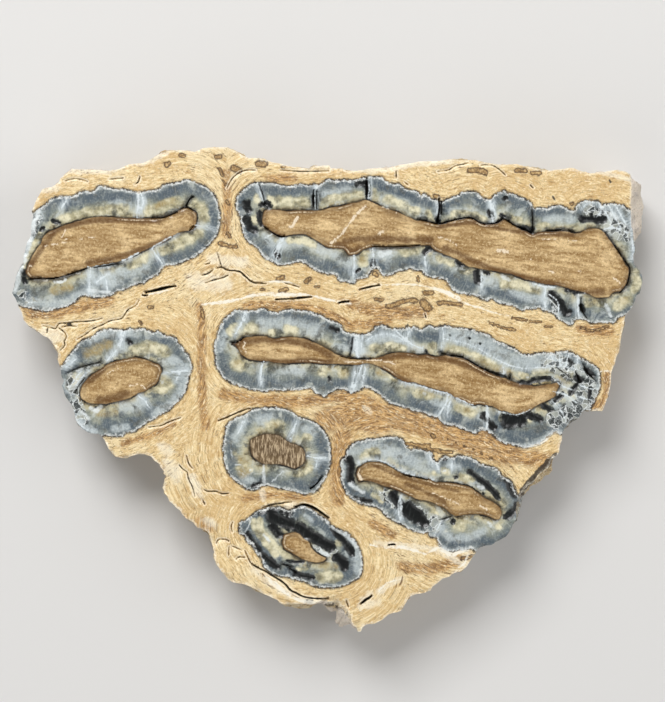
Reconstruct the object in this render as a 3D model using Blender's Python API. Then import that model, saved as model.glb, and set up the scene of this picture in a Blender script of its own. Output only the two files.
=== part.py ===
"""Slice of a mammoth molar: sawn across its plates, polished on one face, broken round its rim.

The slice is one solid that grew as one tooth. It lies on its sawn back, with the polished
face up. The origin is at the middle of the back, +X runs along the longest way across the
slice and +Y towards its long straight edge.
"""
import bmesh
import bpy
from mathutils import Vector, noise

# Driving dimensions, in millimetres.
MM = 0.001
THICKNESS = 10.0
STATION_PITCH = 1.0
BREAK_ROUGHNESS = 0.45
BREAK_BIAS = 0.15
BREAK_GRAIN = 3.1
LEDGE_DEPTH = 0.5
LEDGE_LENGTH = 7.5

# The rim as it shows from above, clockwise from the left corner.
RIM_LEFT = (
    (-44.6, 13.9), (-44.1, 16.2), (-43.0, 18.2), (-42.4, 21.0), (-41.7, 23.6), (-41.6, 25.6),
    (-40.6, 28.2), (-39.0, 28.6), (-37.9, 30.0), (-36.3, 31.1),
)
RIM_TOP = (
    (-33.0, 31.0), (-30.2, 31.0), (-28.3, 31.8), (-25.6, 32.3), (-22.8, 33.7), (-19.0, 33.7),
    (-16.2, 34.2), (-14.0, 34.0), (-12.2, 33.0), (-9.2, 32.5), (-6.5, 31.8), (-3.5, 31.2),
    (-1.0, 31.6), (2.0, 30.9), (4.5, 31.0), (8.2, 31.3), (12.3, 32.2), (16.8, 32.5),
    (20.3, 32.4), (23.5, 31.8), (26.0, 31.9), (28.7, 31.3), (31.2, 31.0), (33.6, 31.3),
    (36.3, 30.5), (39.7, 31.0), (42.1, 30.6), (43.0, 29.8), (44.3, 29.3),
)
RIM_RIGHT = (
    (44.6, 28.4), (44.3, 25.8), (44.3, 22.9), (43.3, 21.2), (43.0, 19.8), (42.4, 18.3),
    (43.2, 17.0), (43.7, 15.6), (43.3, 13.7), (42.4, 12.1), (41.2, 10.6), (41.0, 9.0),
    (40.5, 7.0), (40.3, 5.4), (39.7, 3.6), (39.3, 1.2), (38.8, -1.0), (38.0, -2.7),
    (35.6, -2.6), (34.5, -3.8), (33.2, -4.7), (32.3, -6.2), (32.3, -7.2), (31.9, -8.7),
    (31.3, -10.2), (31.1, -11.4), (29.5, -12.6), (28.2, -13.6), (27.3, -15.2), (26.9, -17.0),
    (26.0, -18.5), (25.0, -19.7), (23.6, -20.9), (21.5, -21.7), (20.4, -22.3), (19.4, -24.0),
    (17.8, -25.3), (15.8, -26.2), (14.3, -27.3), (13.8, -28.0), (11.6, -28.5), (10.8, -29.1),
    (10.0, -30.6), (8.6, -31.0), (7.0, -32.1), (5.0, -32.6), (4.1, -33.6), (3.2, -33.3),
    (1.6, -34.2),
)
RIM_LOWER_LEFT = (
    (0.4, -33.5), (0.4, -32.1), (0.0, -31.5), (-1.2, -30.4), (-3.0, -30.8), (-6.2, -30.8),
    (-7.3, -29.3), (-9.5, -28.3), (-11.5, -27.1), (-14.2, -26.5), (-15.6, -24.8),
    (-16.3, -23.0), (-16.5, -21.7), (-17.0, -20.0), (-18.6, -19.1), (-20.2, -17.8),
    (-21.7, -16.2), (-22.8, -14.8), (-23.5, -13.6), (-23.1, -12.0), (-23.7, -10.6),
    (-25.0, -9.1), (-26.6, -8.8), (-28.4, -9.3), (-30.1, -9.1), (-31.2, -7.8), (-32.0, -6.2),
    (-34.0, -5.7), (-35.4, -4.6), (-36.0, -2.6), (-37.0, -0.8), (-37.6, 0.8), (-37.8, 3.0),
    (-38.2, 4.8), (-38.6, 6.3), (-39.7, 7.6), (-41.2, 8.6), (-43.0, 10.0), (-43.6, 11.7),
)

# Where the broken wall stands out beyond the polished face:
# middle of the stretch x and y, its reach, and how far the face is set back in x and y.
FACE_SETBACKS = (
    (44.5, 26.0, 6.0, -2.3, 0.1),
    (30.2, -12.2, 3.5, -0.6, 0.6),
    (26.8, -17.0, 4.0, -0.9, 0.4),
    (1.2, -33.4, 3.4, 0.5, 2.4),
    (-3.8, -30.8, 5.0, 0.0, 1.3),
    (-20.4, -17.6, 5.5, 0.6, 0.6),
)

# The wall from the face down to the back: share of the thickness, share of the face's
# set-back, how far the rim draws in, and share of the break's roughness.
WALL_LEVELS = (
    (1.00, 1.00, 0.00, 0.00),
    (0.97, 0.90, -0.08, 0.15),
    (0.87, 0.55, -0.05, 0.70),
    (0.72, 0.20, 0.00, 1.00),
    (0.52, 0.00, 0.05, 1.00),
    (0.33, 0.00, 0.15, 1.00),
    (0.15, 0.00, 0.35, 1.00),
    (0.00, 0.00, 0.60, 0.60),
)

# Open cracks in the polished face: centre line, greatest width and depth.
CRACKS = {
    "gap_over_lower_plate": (
        ((-4.9, -16.2), (-3.9, -15.85), (-2.9, -16.05), (-1.9, -16.55), (-0.3, -17.7)), 0.40, 1.2),
    "gap_left_of_it": (
        ((-9.5, -16.25), (-8.0, -15.8), (-6.4, -15.6), (-5.4, -15.6)), 0.30, 0.9),
    "crack_below_lower_plate": (
        ((-11.0, -24.2), (-9.0, -25.25), (-7.3, -26.3), (-5.7, -27.75), (-3.7, -28.75),
         (-1.0, -29.0)), 0.35, 1.0),
    "slit_between_left_plates": (((-25.9, 13.9), (-23.8, 14.35), (-21.7, 14.8)), 0.45, 1.0),
    "slit_on_seam": (((-7.7, 12.9), (-5.0, 13.0), (-2.7, 13.25)), 0.40, 1.0),
    "slit_right_of_seam": (((1.2, 12.45), (1.9, 12.5), (2.5, 12.6)), 0.40, 0.8),
    "slit_under_long_plate": (((4.1, 14.3), (5.5, 14.65), (6.9, 14.9)), 0.30, 0.8),
    "slit_near_bottom": (((4.3, -29.7), (4.9, -29.2), (5.7, -28.7)), 0.40, 0.9),
    "pit_in_lower_right_plate": (((17.1, -18.7), (17.15, -18.25), (17.4, -17.85)), 0.70, 0.9),
}

ENDS_CLEAR = 1.0


def empty_scene():
    for thing in list(bpy.data.objects):
        bpy.data.objects.remove(thing, do_unlink=True)


def new_collection(name):
    collection = bpy.data.collections.new(name)
    bpy.context.scene.collection.children.link(collection)
    return collection


def tooth_material():
    """Polished tan cementum, the stuff that most of the slice is made of."""
    material = bpy.data.materials.new("fossil_tooth")
    material.use_nodes = True
    surface = material.node_tree.nodes["Principled BSDF"]
    surface.inputs["Base Color"].default_value = (0.62, 0.44, 0.24, 1.0)
    surface.inputs["Roughness"].default_value = 0.35
    surface.inputs["Metallic"].default_value = 0.0
    return material


def stations_along(rim, pitch):
    """Points about one pitch apart round the closed rim, with every corner kept."""
    points = []
    for start, end in zip(rim, rim[1:] + rim[:1]):
        start = Vector(start)
        end = Vector(end)
        steps = max(1, round((end - start).length / pitch))
        points.extend(start.lerp(end, step / steps) for step in range(steps))
    return points


def outward_normals(points):
    """Unit normals of a clockwise closed outline, smoothed over two neighbours each side."""
    count = len(points)
    normals = []
    for index in range(count):
        along = points[(index + 2) % count] - points[index - 2]
        normals.append(Vector((-along.y, along.x)).normalized())
    return normals


def face_setback(point):
    """How far the polished face's edge lies inside the rim at this point."""
    shift = Vector((0.0, 0.0))
    for x, y, reach, pull_x, pull_y in FACE_SETBACKS:
        share = max(0.0, 1.0 - ((point - Vector((x, y))).length / reach) ** 2)
        shift += Vector((pull_x, pull_y)) * share
    return shift


def break_offset(point, height):
    """Lumps of the break, less the ledges where the growth layers snapped off."""
    lumps = noise.fractal(Vector((point.x, point.y, height)) / BREAK_GRAIN, 0.8, 2.1, 3)
    layer = noise.noise(Vector((point.x, point.y, 0.0)) / LEDGE_LENGTH)
    ledge = LEDGE_DEPTH if height < THICKNESS * (0.5 + 0.6 * layer) else 0.0
    return BREAK_ROUGHNESS * lumps - BREAK_BIAS - ledge


def wall_ring(points, normals, level):
    share_up, setback, draw_in, roughness = level
    height = THICKNESS * share_up
    ring = []
    for point, normal in zip(points, normals):
        bulge = roughness * break_offset(point, height) - draw_in
        spot = point + face_setback(point) * setback + normal * bulge
        ring.append(Vector((spot.x, spot.y, height)) * MM)
    return ring


def slab_mesh(points):
    """A loft down the wall between unlike outlines, with a flat face and a flat back."""
    normals = outward_normals(points)
    mesh = bmesh.new()
    rings = []
    for level in WALL_LEVELS:
        ring = wall_ring(points, normals, level)
        rings.append([mesh.verts.new(spot) for spot in ring])
    count = len(points)
    for upper, lower in zip(rings, rings[1:]):
        for index in range(count):
            after = (index + 1) % count
            mesh.faces.new((upper[index], upper[after], lower[after], lower[index]))
    mesh.faces.new(list(reversed(rings[0])))
    mesh.faces.new(rings[-1])
    bmesh.ops.triangulate(mesh, faces=mesh.faces[:])
    bmesh.ops.recalc_face_normals(mesh, faces=mesh.faces[:])
    data = bpy.data.meshes.new("tooth_slice")
    mesh.to_mesh(data)
    mesh.free()
    return data


def crack_outline(line, width):
    """The crack's two lips: widest in the middle, closing to a point at both ends."""
    line = [Vector(point) for point in line]
    last = len(line) - 1
    lips = []
    for side in (1, -1):
        for index in range(1, last):
            along = (line[index + 1] - line[index - 1]).normalized()
            across = Vector((-along.y, along.x)) * side * width / 2
            lips.append(line[index] + across)
    upper = lips[:last - 1]
    lower = lips[last - 1:]
    return [line[0]] + upper + [line[-1]] + list(reversed(lower))


def crack_cutter(name, line, width, depth, collection):
    """A flat outline drawn as a filled curve, then made a mesh that can cut."""
    curve = bpy.data.curves.new(name, "CURVE")
    curve.dimensions = "2D"
    curve.fill_mode = "BOTH"
    curve.extrude = (depth + ENDS_CLEAR) / 2 * MM
    outline = crack_outline(line, width)
    spline = curve.splines.new("POLY")
    spline.points.add(len(outline) - 1)
    spline.use_cyclic_u = True
    for place, spot in zip(spline.points, outline):
        place.co = (spot.x * MM, spot.y * MM, 0.0, 1.0)
    drawn = bpy.data.objects.new(name + "_outline", curve)
    collection.objects.link(drawn)
    drawn.location.z = (THICKNESS + (ENDS_CLEAR - depth) / 2) * MM
    bpy.context.view_layer.update()
    evaluated = drawn.evaluated_get(bpy.context.evaluated_depsgraph_get())
    data = bpy.data.meshes.new_from_object(evaluated)
    mesh = bmesh.new()
    mesh.from_mesh(data)
    bmesh.ops.remove_doubles(mesh, verts=mesh.verts[:], dist=0.000001)
    bmesh.ops.recalc_face_normals(mesh, faces=mesh.faces[:])
    mesh.to_mesh(data)
    mesh.free()
    cutter = bpy.data.objects.new(name, data)
    cutter.matrix_world = drawn.matrix_world.copy()
    collection.objects.link(cutter)
    bpy.data.objects.remove(drawn, do_unlink=True)
    cutter.hide_render = True
    cutter.display_type = "WIRE"
    return cutter


def cut(target, cutter):
    modifier = target.modifiers.new(cutter.name, "BOOLEAN")
    modifier.operation = "DIFFERENCE"
    modifier.solver = "EXACT"
    modifier.object = cutter


def tooth_slice(parts, cutters):
    points = stations_along(RIM_LEFT + RIM_TOP + RIM_RIGHT + RIM_LOWER_LEFT, STATION_PITCH)
    slab = bpy.data.objects.new("tooth_slice", slab_mesh(points))
    parts.objects.link(slab)
    slab.data.materials.append(tooth_material())
    for name, (line, width, depth) in CRACKS.items():
        cut(slab, crack_cutter(name, line, width, depth, cutters))
    return slab


empty_scene()
tooth_slice(new_collection("mammoth_tooth_slice"), new_collection("cutters"))
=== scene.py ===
import math

import bpy
import numpy as np
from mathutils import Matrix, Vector, noise
from mathutils.geometry import delaunay_2d_cdt
from mathutils.kdtree import KDTree


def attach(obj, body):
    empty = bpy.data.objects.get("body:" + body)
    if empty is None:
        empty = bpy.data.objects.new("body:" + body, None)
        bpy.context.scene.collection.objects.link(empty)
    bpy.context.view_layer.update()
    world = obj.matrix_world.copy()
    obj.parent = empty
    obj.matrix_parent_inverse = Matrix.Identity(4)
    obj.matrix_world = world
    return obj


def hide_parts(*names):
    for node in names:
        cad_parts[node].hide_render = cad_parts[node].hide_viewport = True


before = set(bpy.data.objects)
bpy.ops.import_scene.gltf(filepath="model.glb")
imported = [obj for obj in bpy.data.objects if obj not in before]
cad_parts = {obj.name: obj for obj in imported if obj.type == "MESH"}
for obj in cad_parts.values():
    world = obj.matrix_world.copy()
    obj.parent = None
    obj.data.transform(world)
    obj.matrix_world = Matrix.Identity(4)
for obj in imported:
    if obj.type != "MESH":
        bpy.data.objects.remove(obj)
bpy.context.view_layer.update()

# The rim of the slice. The tooth was sawn across and broke out of its gum line unevenly, so the
# rim is a rough break all the way round. Numbers are x, y, x, y ... in millimetres, clockwise.
MM = 0.001
FACE_HEIGHT = 10.0


def outline(*numbers):
    return np.array(numbers, dtype=float).reshape(-1, 2)


rim_left = outline(
    -42.3, 9.25, -43, 10, -43.2, 11, -43.8, 12.2, -44.1, 13, -44.6, 13.8, -44.2, 15, -44, 16.2, -43.4, 17.3,
    -43, 18, -42.9, 19.2, -42.5, 20.8, -41.9, 22, -41.9, 23.3, -41.6, 24.6, -41.85, 25.2, -41.4, 26.3, -41,
    27.3, -40.4, 28.3, -39.9, 28.5, -39, 28.6, -38, 29.3,
    -37.9, 29.8, -37, 30.5, -36.3, 31.1)
rim_top = outline(
    -33, 31.05, -31.5, 30.9, -30.2, 31, -29.5, 31.2, -28.3, 31.8, -26.2, 32, -25.2, 32.5, -24, 33.2, -22.8,
    33.7, -21, 33.8, -19, 33.6, -17.8, 34.1, -16, 34.2, -14.5, 34.2, -13, 33.5, -12.2, 33, -11.5, 32.7, -10.5,
    32.7, -9.2, 32.5, -8.2, 32.1, -7, 31.9, -6, 31.6, -5, 31.4, -3.8, 31.3, -3, 31.05, -2.3, 31.5, -0.2, 31.7,
    0.05, 31.3, 1.5, 31.2, 2.3, 30.9, 3.67, 30.92, 4.5, 31, 5.33, 31.2, 6.5, 31.25, 8.17, 31.3, 9.5, 31.7, 11,
    31.9, 12.33, 32.2, 14, 32.28, 15.33, 32.3, 16.5, 32.5, 17, 32.5, 18.67, 32.38, 20.33, 32.38, 21.17, 32.13,
    22.33, 32, 23.5, 31.78, 24.5, 31.78, 26, 31.88, 27, 31.6, 28, 31.37, 28.67, 31.25, 30, 31, 31, 30.92,
    31.33, 31.03, 32, 31.08, 32.83, 31.2, 33.5, 31.33, 34, 31.3, 34.5, 31.08, 35, 30.87, 35.67, 30.75, 36.33,
    30.53, 37, 30.58, 37.67, 30.7, 38.33, 30.75, 39, 30.87, 39.67, 30.97, 40.33, 30.97, 41.17, 30.83, 42,
    30.63, 42.33, 30.42, 42.67, 30, 43, 29.75, 43.5, 29.67,
    44, 29.5, 44.42, 29.25)
rim_right = outline(
    44.58, 28.83, 44.53, 28.42, 44.42, 27.5, 44.33, 26.33, 44.25, 25.33, 44.2, 24.33, 44.25, 23.5, 44.33,
    22.83, 44.08, 22.42, 43.75, 22, 43.5, 21.67, 43.17, 21.17, 43.08, 20.67, 43.03, 20, 42.92, 19.58, 42.67,
    19.25, 42.5, 18.83, 42.42, 18.33, 42.47, 17.83, 42.83, 17.5, 43.25, 17, 43.58, 16.33, 43.67, 15.67, 43.62,
    15, 43.42, 14.33, 43.33, 13.75, 42.83, 13.5, 42.67, 12.83, 42.33, 12, 41.83, 11.33, 41.33, 10.83, 41.17,
    10.17, 41.08, 9.33, 40.92, 8.67, 40.67, 7.83, 40.6, 6.3, 40.4, 5.5, 40, 4.8, 39.8, 3.8, 39.5, 3.2, 39.3,
    2.5, 39.25, 1.2, 39, 0, 38.75, -1, 38.3, -2.2, 38, -2.75, 37.3, -2.67, 36.67, -2.75, 36, -2.6, 35.5, -2.6,
    35.2, -2.9, 34.8, -3.67, 34.2, -3.9, 33.67, -4.1, 33.2, -4.67, 32.67, -5.3, 32.4, -6, 32.4, -6.8, 32.1,
    -7.67, 32, -8.5, 31.8, -8.8, 31.5, -9.5, 31.3, -10.3, 31.25, -11, 31, -11.5, 30.2, -12, 29.67, -12.67,
    29.2, -13.1, 28.3, -13.5, 27.8, -14.2, 27.5, -14.8, 27.1, -15.67, 27, -16.3, 26.75, -17, 26.67, -17.67,
    26.4, -18.2, 25.75, -18.67, 25.2, -19.3, 24.9, -19.8, 24.5, -20.4, 23.8, -20.8, 23, -21.1, 22.9, -21.3,
    22.5, -21.5, 21.67, -21.6, 21, -21.8, 20.5, -22.2, 20.25, -22.67, 20, -23.1, 19.5, -23.8, 19, -24.6, 18.2,
    -25.2, 17.3, -25.4, 16.67, -25.9, 15.67, -26.2, 15, -26.8, 14.3, -27.3, 14, -27.9, 13, -28.25, 11.8,
    -28.4, 11, -28.8, 10.5, -29.67, 10, -30.6, 9.5, -30.9, 8.67, -31, 8, -31.3, 7.2, -32, 6.2, -32.5, 5,
    -32.6,
    4.5, -33, 4.25, -33.6, 3.8, -33.67, 3.6, -33.3, 3, -33.3, 2.5, -33.6, 1.8, -34, 1, -34.2)
rim_lower_left = outline(
    0.8, -33.8, 0.25, -33.3, 0.17, -32.67, 0.4, -32.2, 0.6, -31.5, 0.17, -31.6, -0.3, -31.3, -0.67, -30.8,
    -1.3, -30.4, -2, -30.5, -3, -30.8, -4.2, -30.8, -5.3, -30.75, -6.25, -30.8, -6.67, -30.2, -7.2, -29.5,
    -7.4, -29.2, -8.3, -28.8, -9.5, -28.3, -10.3, -27.8, -11.2, -27.3, -12, -27, -12.5, -26.9, -13.6, -26.75,
    -14.3, -26.4, -14.8, -25.8, -15.5, -24.9, -16, -24.1, -16.3, -23.3, -16.3, -22.5, -16.5, -21.67, -16.8,
    -20.75, -17, -20, -17.3, -19.6, -18, -19.25, -18.67, -19.1, -19.3, -18.3, -20.2, -17.8, -20.75, -17.25,
    -21.1, -16.67, -21.67, -16.25, -22.2, -15.67, -22.6, -15.4, -22.8, -14.75, -23.25, -14.25, -23.5, -13.5,
    -23.3, -12.9, -23.2, -12.3, -23, -11.8, -23.4, -11.5, -23.3, -11.2, -23.75, -10.6, -24, -10.1, -24.67,
    -9.67, -25.1, -9.1, -26, -8.8, -27, -8.8, -27.8, -9, -28.5, -9.3, -29.3, -9.25, -30.1, -9.1, -30.67, -8.6,
    -31.1, -8, -31.6, -6.9, -32, -6.25, -32.5, -5.9, -33.3, -5.9, -34, -5.67, -34.7, -5.25, -35.2, -4.75,
    -35.6, -4.1, -35.8, -3.3, -36, -2.5, -36.3, -1.75, -36.75, -1.25, -37.1, -0.7, -37.3, 0, -37.6, 0.8,
    -37.3, 1.5, -37.7, 2.2, -37.75, 3, -38, 3.8, -38.25, 4.5,
    -38.1, 5.2, -38.25, 5.8, -38.6, 6.3, -39, 7, -39.5, 7.5, -40.2, 7.8, -40.8, 8.3, -41.5, 8.8)
rim = np.concatenate([rim_left, rim_top, rim_right, rim_lower_left])

# Where the break slopes, the polished face stops short of the rim: rim x, y, set-back x, y.
set_backs = (
    (41.17, 30.83, 0, 0), (42, 30.63, 0, -0.2), (43, 29.75, -0.9, 0.1), (44.42, 29.25, -2.3, 0.2),
    (44.58, 28.83, -2.4, 0), (44.42, 27.5, -2.3, 0), (44.33, 26.33, -2.3, 0), (44.2, 24.33, -2.15, 0),
    (44.33, 22.83, -2.2, 0.2), (43.75, 22, -1.4, 0.4), (43.17, 21.17, -0.7, 0.1), (42.92, 19.58, -0.3, 0),
    (42.42, 18.33, 0, 0), (31.8, -8.8, 0, 0), (31.5, -9.5, -0.7, -0.1), (31.3, -10.3, -0.65, 0),
    (31, -11.5, -0.95, 0.5), (29.67, -12.67, -0.8, 0.5), (28.3, -13.5, -0.75, 0.3), (27.5, -14.8, -0.9, 0.4),
    (27.1, -15.67, -1, 0.3), (26.75, -17, -0.8, 0.2), (26.4, -18.2, -0.5, 0.1), (25.2, -19.3, 0, 0),
    (3.8, -33.67, 0, 0), (3, -33.3, 0.1, 0.6), (2.5, -33.6, 0.4, 1.6), (1.8, -34, 1.1, 2.5), (1, -34.2, 1.5,
     3.3), (0.25, -33.3, 1.6, 3.1), (0.4, -32.2, 0.8, 2.5), (0.17, -31.6, 0.3, 2.2), (-0.67, -30.8, 0, 1.3),
    (-2, -30.5, 0, 0.85), (-4.2, -30.8, 0, 1.1), (-6.25, -30.8, -0.2, 1), (-6.67, -30.2, -0.1, 0.45),
    (-7.2, -29.5, 0, 0),
)

# The enamel plates. Each is a flat tube of enamel folded from the tooth's own growth, sawn
# across here into a closed band with dentine inside. Where a plate runs off the rim, its band
# is drawn a little past it.
upper_left_plate = outline(
    -40.1, 26, -39, 26.9, -37.8, 27.3, -36, 27.3, -35, 27.9, -33, 28.1, -32.6, 28.7, -31.5, 28.7, -30.5, 28.4,
    -28.5, 28.2, -27, 27.8, -26, 28, -24, 28.3, -23.5, 28.8, -22.5, 29.1, -21, 29.3, -20.3, 29.6, -19.3, 29.4,
    -18.3, 29, -17.3, 28.5, -16.5, 27.7, -16, 27, -15.6, 25.3, -15.5, 24.2, -15.6, 23, -15.9, 22, -16.5, 21.2,
    -17.3, 20.3, -18, 19.7, -19, 18.9, -20.3, 18.4, -21.2, 17.9, -22.3, 17.8, -23.2, 17.6, -23.8, 17, -24.2,
    16.4, -25.2, 15.9, -26.2, 15.2, -27.5, 15, -28.5, 14.4, -29.8, 14.1, -30.5, 13.6, -31.8, 13.3, -33.3,
    13.2, -34.8, 13.4, -36, 12.4, -37.5, 11.8, -39, 11.5, -40, 11.3, -41.5, 11.6, -42.8, 11.9, -43.9, 12.3,
    -44.6, 13, -45.1, 13.9, -44.6, 15.9, -43.9, 17.5, -43.4, 19, -42.9, 21,
    -42.4, 22.3, -42.2, 24.6, -41.4, 25.2)
upper_left_dentine = outline(
    -42.7, 16.9, -42.2, 18.2, -41.5, 19.5, -40.6, 20.8, -40.3, 21.6, -39.6, 22.3, -38.5, 22.8, -37.3, 23.3,
    -35, 24, -33.5, 24.4, -31.5, 24.5, -28, 24.3, -24.5, 24.3, -23.3, 24.5, -22, 25, -21, 25.5, -20.2, 25.8,
    -19.5, 25.5, -18.8, 25, -18.7, 24.2, -18.9, 23.2, -19.6, 22.5, -21, 22.3, -22.5, 21.4, -23.5, 20.8, -25,
    20.2, -26.5, 19.5, -28, 18.8, -29.5, 18.2, -31, 17.9, -33, 17.5, -34.3, 17.3, -35.5, 16.8, -37, 16.3,
    -38.5, 15.9, -40, 15.8,
    -41.5, 15.7, -42.3, 16.1)
long_upper_plate = outline(
    -13.2, 26, -13, 27.3, -12.3, 28.1, -11.5, 28.8, -10.5, 29.2, -9, 29.2, -8, 29.1, -6.5, 28.8, -5, 28.8, -4,
    29, -3.2, 28.8, -2.2, 29, -1.7, 28.9, -1, 29.3, -0.3, 29.7, 0.5, 29.5, 2, 29.63, 2.67, 29.5, 3.33, 29.58,
    4, 29.63, 4.5, 29.92, 5.2, 30, 7, 30, 7.5, 29.75, 7.9, 29.25, 8.67, 29.08, 9, 29, 9.33, 29.13, 9.83, 28.9,
    10, 28.67, 10.33, 28.4, 11, 28.25, 11.3, 28.1, 12, 28, 12.33, 27.83, 12.67, 27.25, 13, 27.67, 13.67, 27.4,
    14, 27, 14.67, 26.83, 15.17, 26.67, 15.67, 26.5, 16.17, 26.83, 16.67, 27, 17, 27.17, 17.67, 27.33, 18,
    27.5, 18.33, 27.83, 18.83, 27.87, 19.33, 27.97, 20, 27.97, 20.67, 27.75, 20.9, 27.5, 21, 27.25, 21.33,
    27.08, 21.67, 26.9, 22, 26.83, 22.2, 26.75, 22.6, 27, 22.83, 27.4, 23.5, 27.75, 23.83, 27.9, 24.25, 28.1,
    24.4, 28.25, 24.6, 27.83, 25, 27.75, 25.33, 27.67, 25.83, 27.5, 26.17, 27.33, 26.83, 27.08, 27.33, 26.83,
    27.67, 26.67, 28.1, 26.25, 28.25, 25.75, 28.67, 25.6, 29.2, 25.75, 29.67, 25.6, 30.3, 25.6, 30.8, 25.85,
    31.5, 26, 32.2, 26, 32.67, 25.83, 33.17, 25.6, 33.67, 25.3, 34.1, 25.2, 34.3, 25.7, 34.67, 26.2, 35.17,
    26.6, 35.67, 26.67, 36.3, 26.67, 36.8, 26.6, 37.3, 26.67, 37.75, 26.4, 38, 25.9, 38.3, 26.17, 39, 26.25,
    39.67, 26.33, 40.33, 26.17, 41, 26, 41.5, 25.6, 42, 25.4, 42.6, 24, 42.7, 22, 43.2, 20.4, 42.9, 18.2,
    43.5, 17.4, 44.1, 15.8, 43.8, 13.6, 43.1, 13, 42.7, 12, 42, 11.2, 41.5, 10.8, 40.7, 10.6, 40.1, 10.3,
    39.9, 9.75, 39.2, 9.67, 38.3, 9.67, 37.5, 9.67, 36.5, 9.6, 36, 9.9, 35.3, 10.17, 34.5, 10.17, 34, 9.9,
    33.9, 9.5, 33.5, 9.3, 32.67, 9.8, 32, 10.17, 31.67, 10.5, 31.3, 10.9, 30.67, 11.17, 29.8, 11.4, 29.2,
    11.75, 28.3, 11.6, 27.5, 11.7, 26.8, 11.4, 26.2, 11.6, 25.9, 11.9, 25.3, 12.1, 24.2, 12.3, 23.3, 12.6,
    22.67, 13, 22.25, 13, 22, 12.75, 21.33, 12.92, 20.67, 13.25, 20, 13.5, 19.33, 13.58, 18.67, 13.75, 17.83,
    13.83, 17.33, 14.17, 16.83, 14.58, 16.5, 15, 16.33, 15.5, 15.83, 15.75, 15, 15.92, 14.33, 16, 13.67,
    16.17, 13.33, 16.33, 13, 16.67, 12.67, 16.92, 12, 17, 11.33, 17.25, 11, 17.33, 10.33, 17, 9.5, 16.92, 9,
    16.67, 8.5, 16.42, 7.83, 16.25, 7.33, 16.33, 7, 16.67, 6.83, 17.17, 6.5, 17.33, 6, 17.17, 5.67, 16.83,
    5.33, 16.33, 5, 16, 4.17, 15.83, 3.67, 15.67, 3.33, 15.17, 2.83, 15.25, 2, 15.5, 1.5, 15.4, 1, 16, 0.5,
    16.5, -0.5, 16.5, -1.5, 16.8, -2.5, 17.3, -3.3, 17.8, -4, 18.2, -5, 18.1, -6.2, 17.8, -7.3, 17.8, -8.3,
    18.3, -9.2, 18.8, -9.8, 19.5,
    -10.3, 20.2, -11.3, 20.8, -11.9, 21.6, -12.3, 22.8, -12.5, 24, -12.9, 25)
long_upper_dentine = outline(
    -9.5, 24.6, -9.3, 25.3, -8.8, 25.5, -7.5, 25.5, -6, 25.3, -4.5, 25.4, -1.5, 25.4, 0, 25.8, 1.5, 26, 2.83,
    26.42, 3.67, 26.5, 4.17, 26.67, 4.75, 26.87, 5.17, 26.83, 5.83, 26.58, 6.83, 26.08, 7.83, 25.67, 8.67,
    25.42, 9.67, 25.08, 10.5, 24.67, 11.33, 24.33, 12, 24, 12.83, 23.92, 13.67, 23.75, 14.67, 23.53, 15.33,
    23.42, 16.17, 23.58, 17, 23.92, 17.83, 24, 18.67, 24.17, 19.33, 24.33, 20, 24.17, 20.67, 23.83, 21.33,
    23.53, 22, 23.42, 23.17, 23.5, 23.83, 23.83, 24.33, 24.08, 25, 23.75, 25.83, 23.2, 26.67, 22.7, 27.5,
    22.4, 28.3, 22, 29, 22.3, 30, 22.4, 31.2, 22.4, 32.3, 22.5, 33.3, 22.4, 34, 22.2, 35, 22.25, 35.3, 22.5,
    36, 22.8, 37, 22.87, 37.8, 22.7, 38.4, 22.25, 38.8, 21.67, 39.3, 21, 39.8, 20.3, 40.3, 19.67, 40.8, 18.8,
    41.3, 17.8, 41.8, 17.2, 41.75, 16.3, 41.5, 15.3, 41.1, 14.5, 40.5, 14, 39.8, 13.9, 39.3, 13.6, 39, 13.2,
    38, 13.1, 37.2, 13.1, 36.5, 13.4, 36, 13.67, 35.2, 13.9, 34.3, 14.1, 33.5, 14.3, 32.67, 14.6, 32, 14.75,
    31, 14.9, 30, 15, 29.2, 15.2, 28.3, 15.4, 27, 15.75, 25.3, 16.4, 24.5, 16.5, 23.67, 16.7, 22.83, 16.83,
    21.17, 17.08, 20.67, 17.17, 20, 17.33, 19.33, 17.42, 18.67, 17.83, 18, 18.25, 17.67, 18.5, 17, 18.75,
    16.17, 19.08, 15.33, 19.42, 14.67, 19.75, 14.17, 20.08, 14, 20.42, 12.67, 20.42, 11.33, 20.25, 9.5, 20.17,
    8.17, 20.17, 7, 20.17, 6, 20.2, 5.33, 20.08, 4.5, 19.75, 3.83, 19.25, 3.17, 19.08, 2.5, 19.1, 1.8, 19.9,
    0.5, 20, -0.5, 20.2, -1.5, 20.8, -2.5, 21.4, -3.5, 21.9, -4.5, 22, -5.5, 21.9,
    -6.5, 21.7, -7.2, 21.8, -8.3, 22.4, -9.2, 23, -9.6, 23.8)
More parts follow.
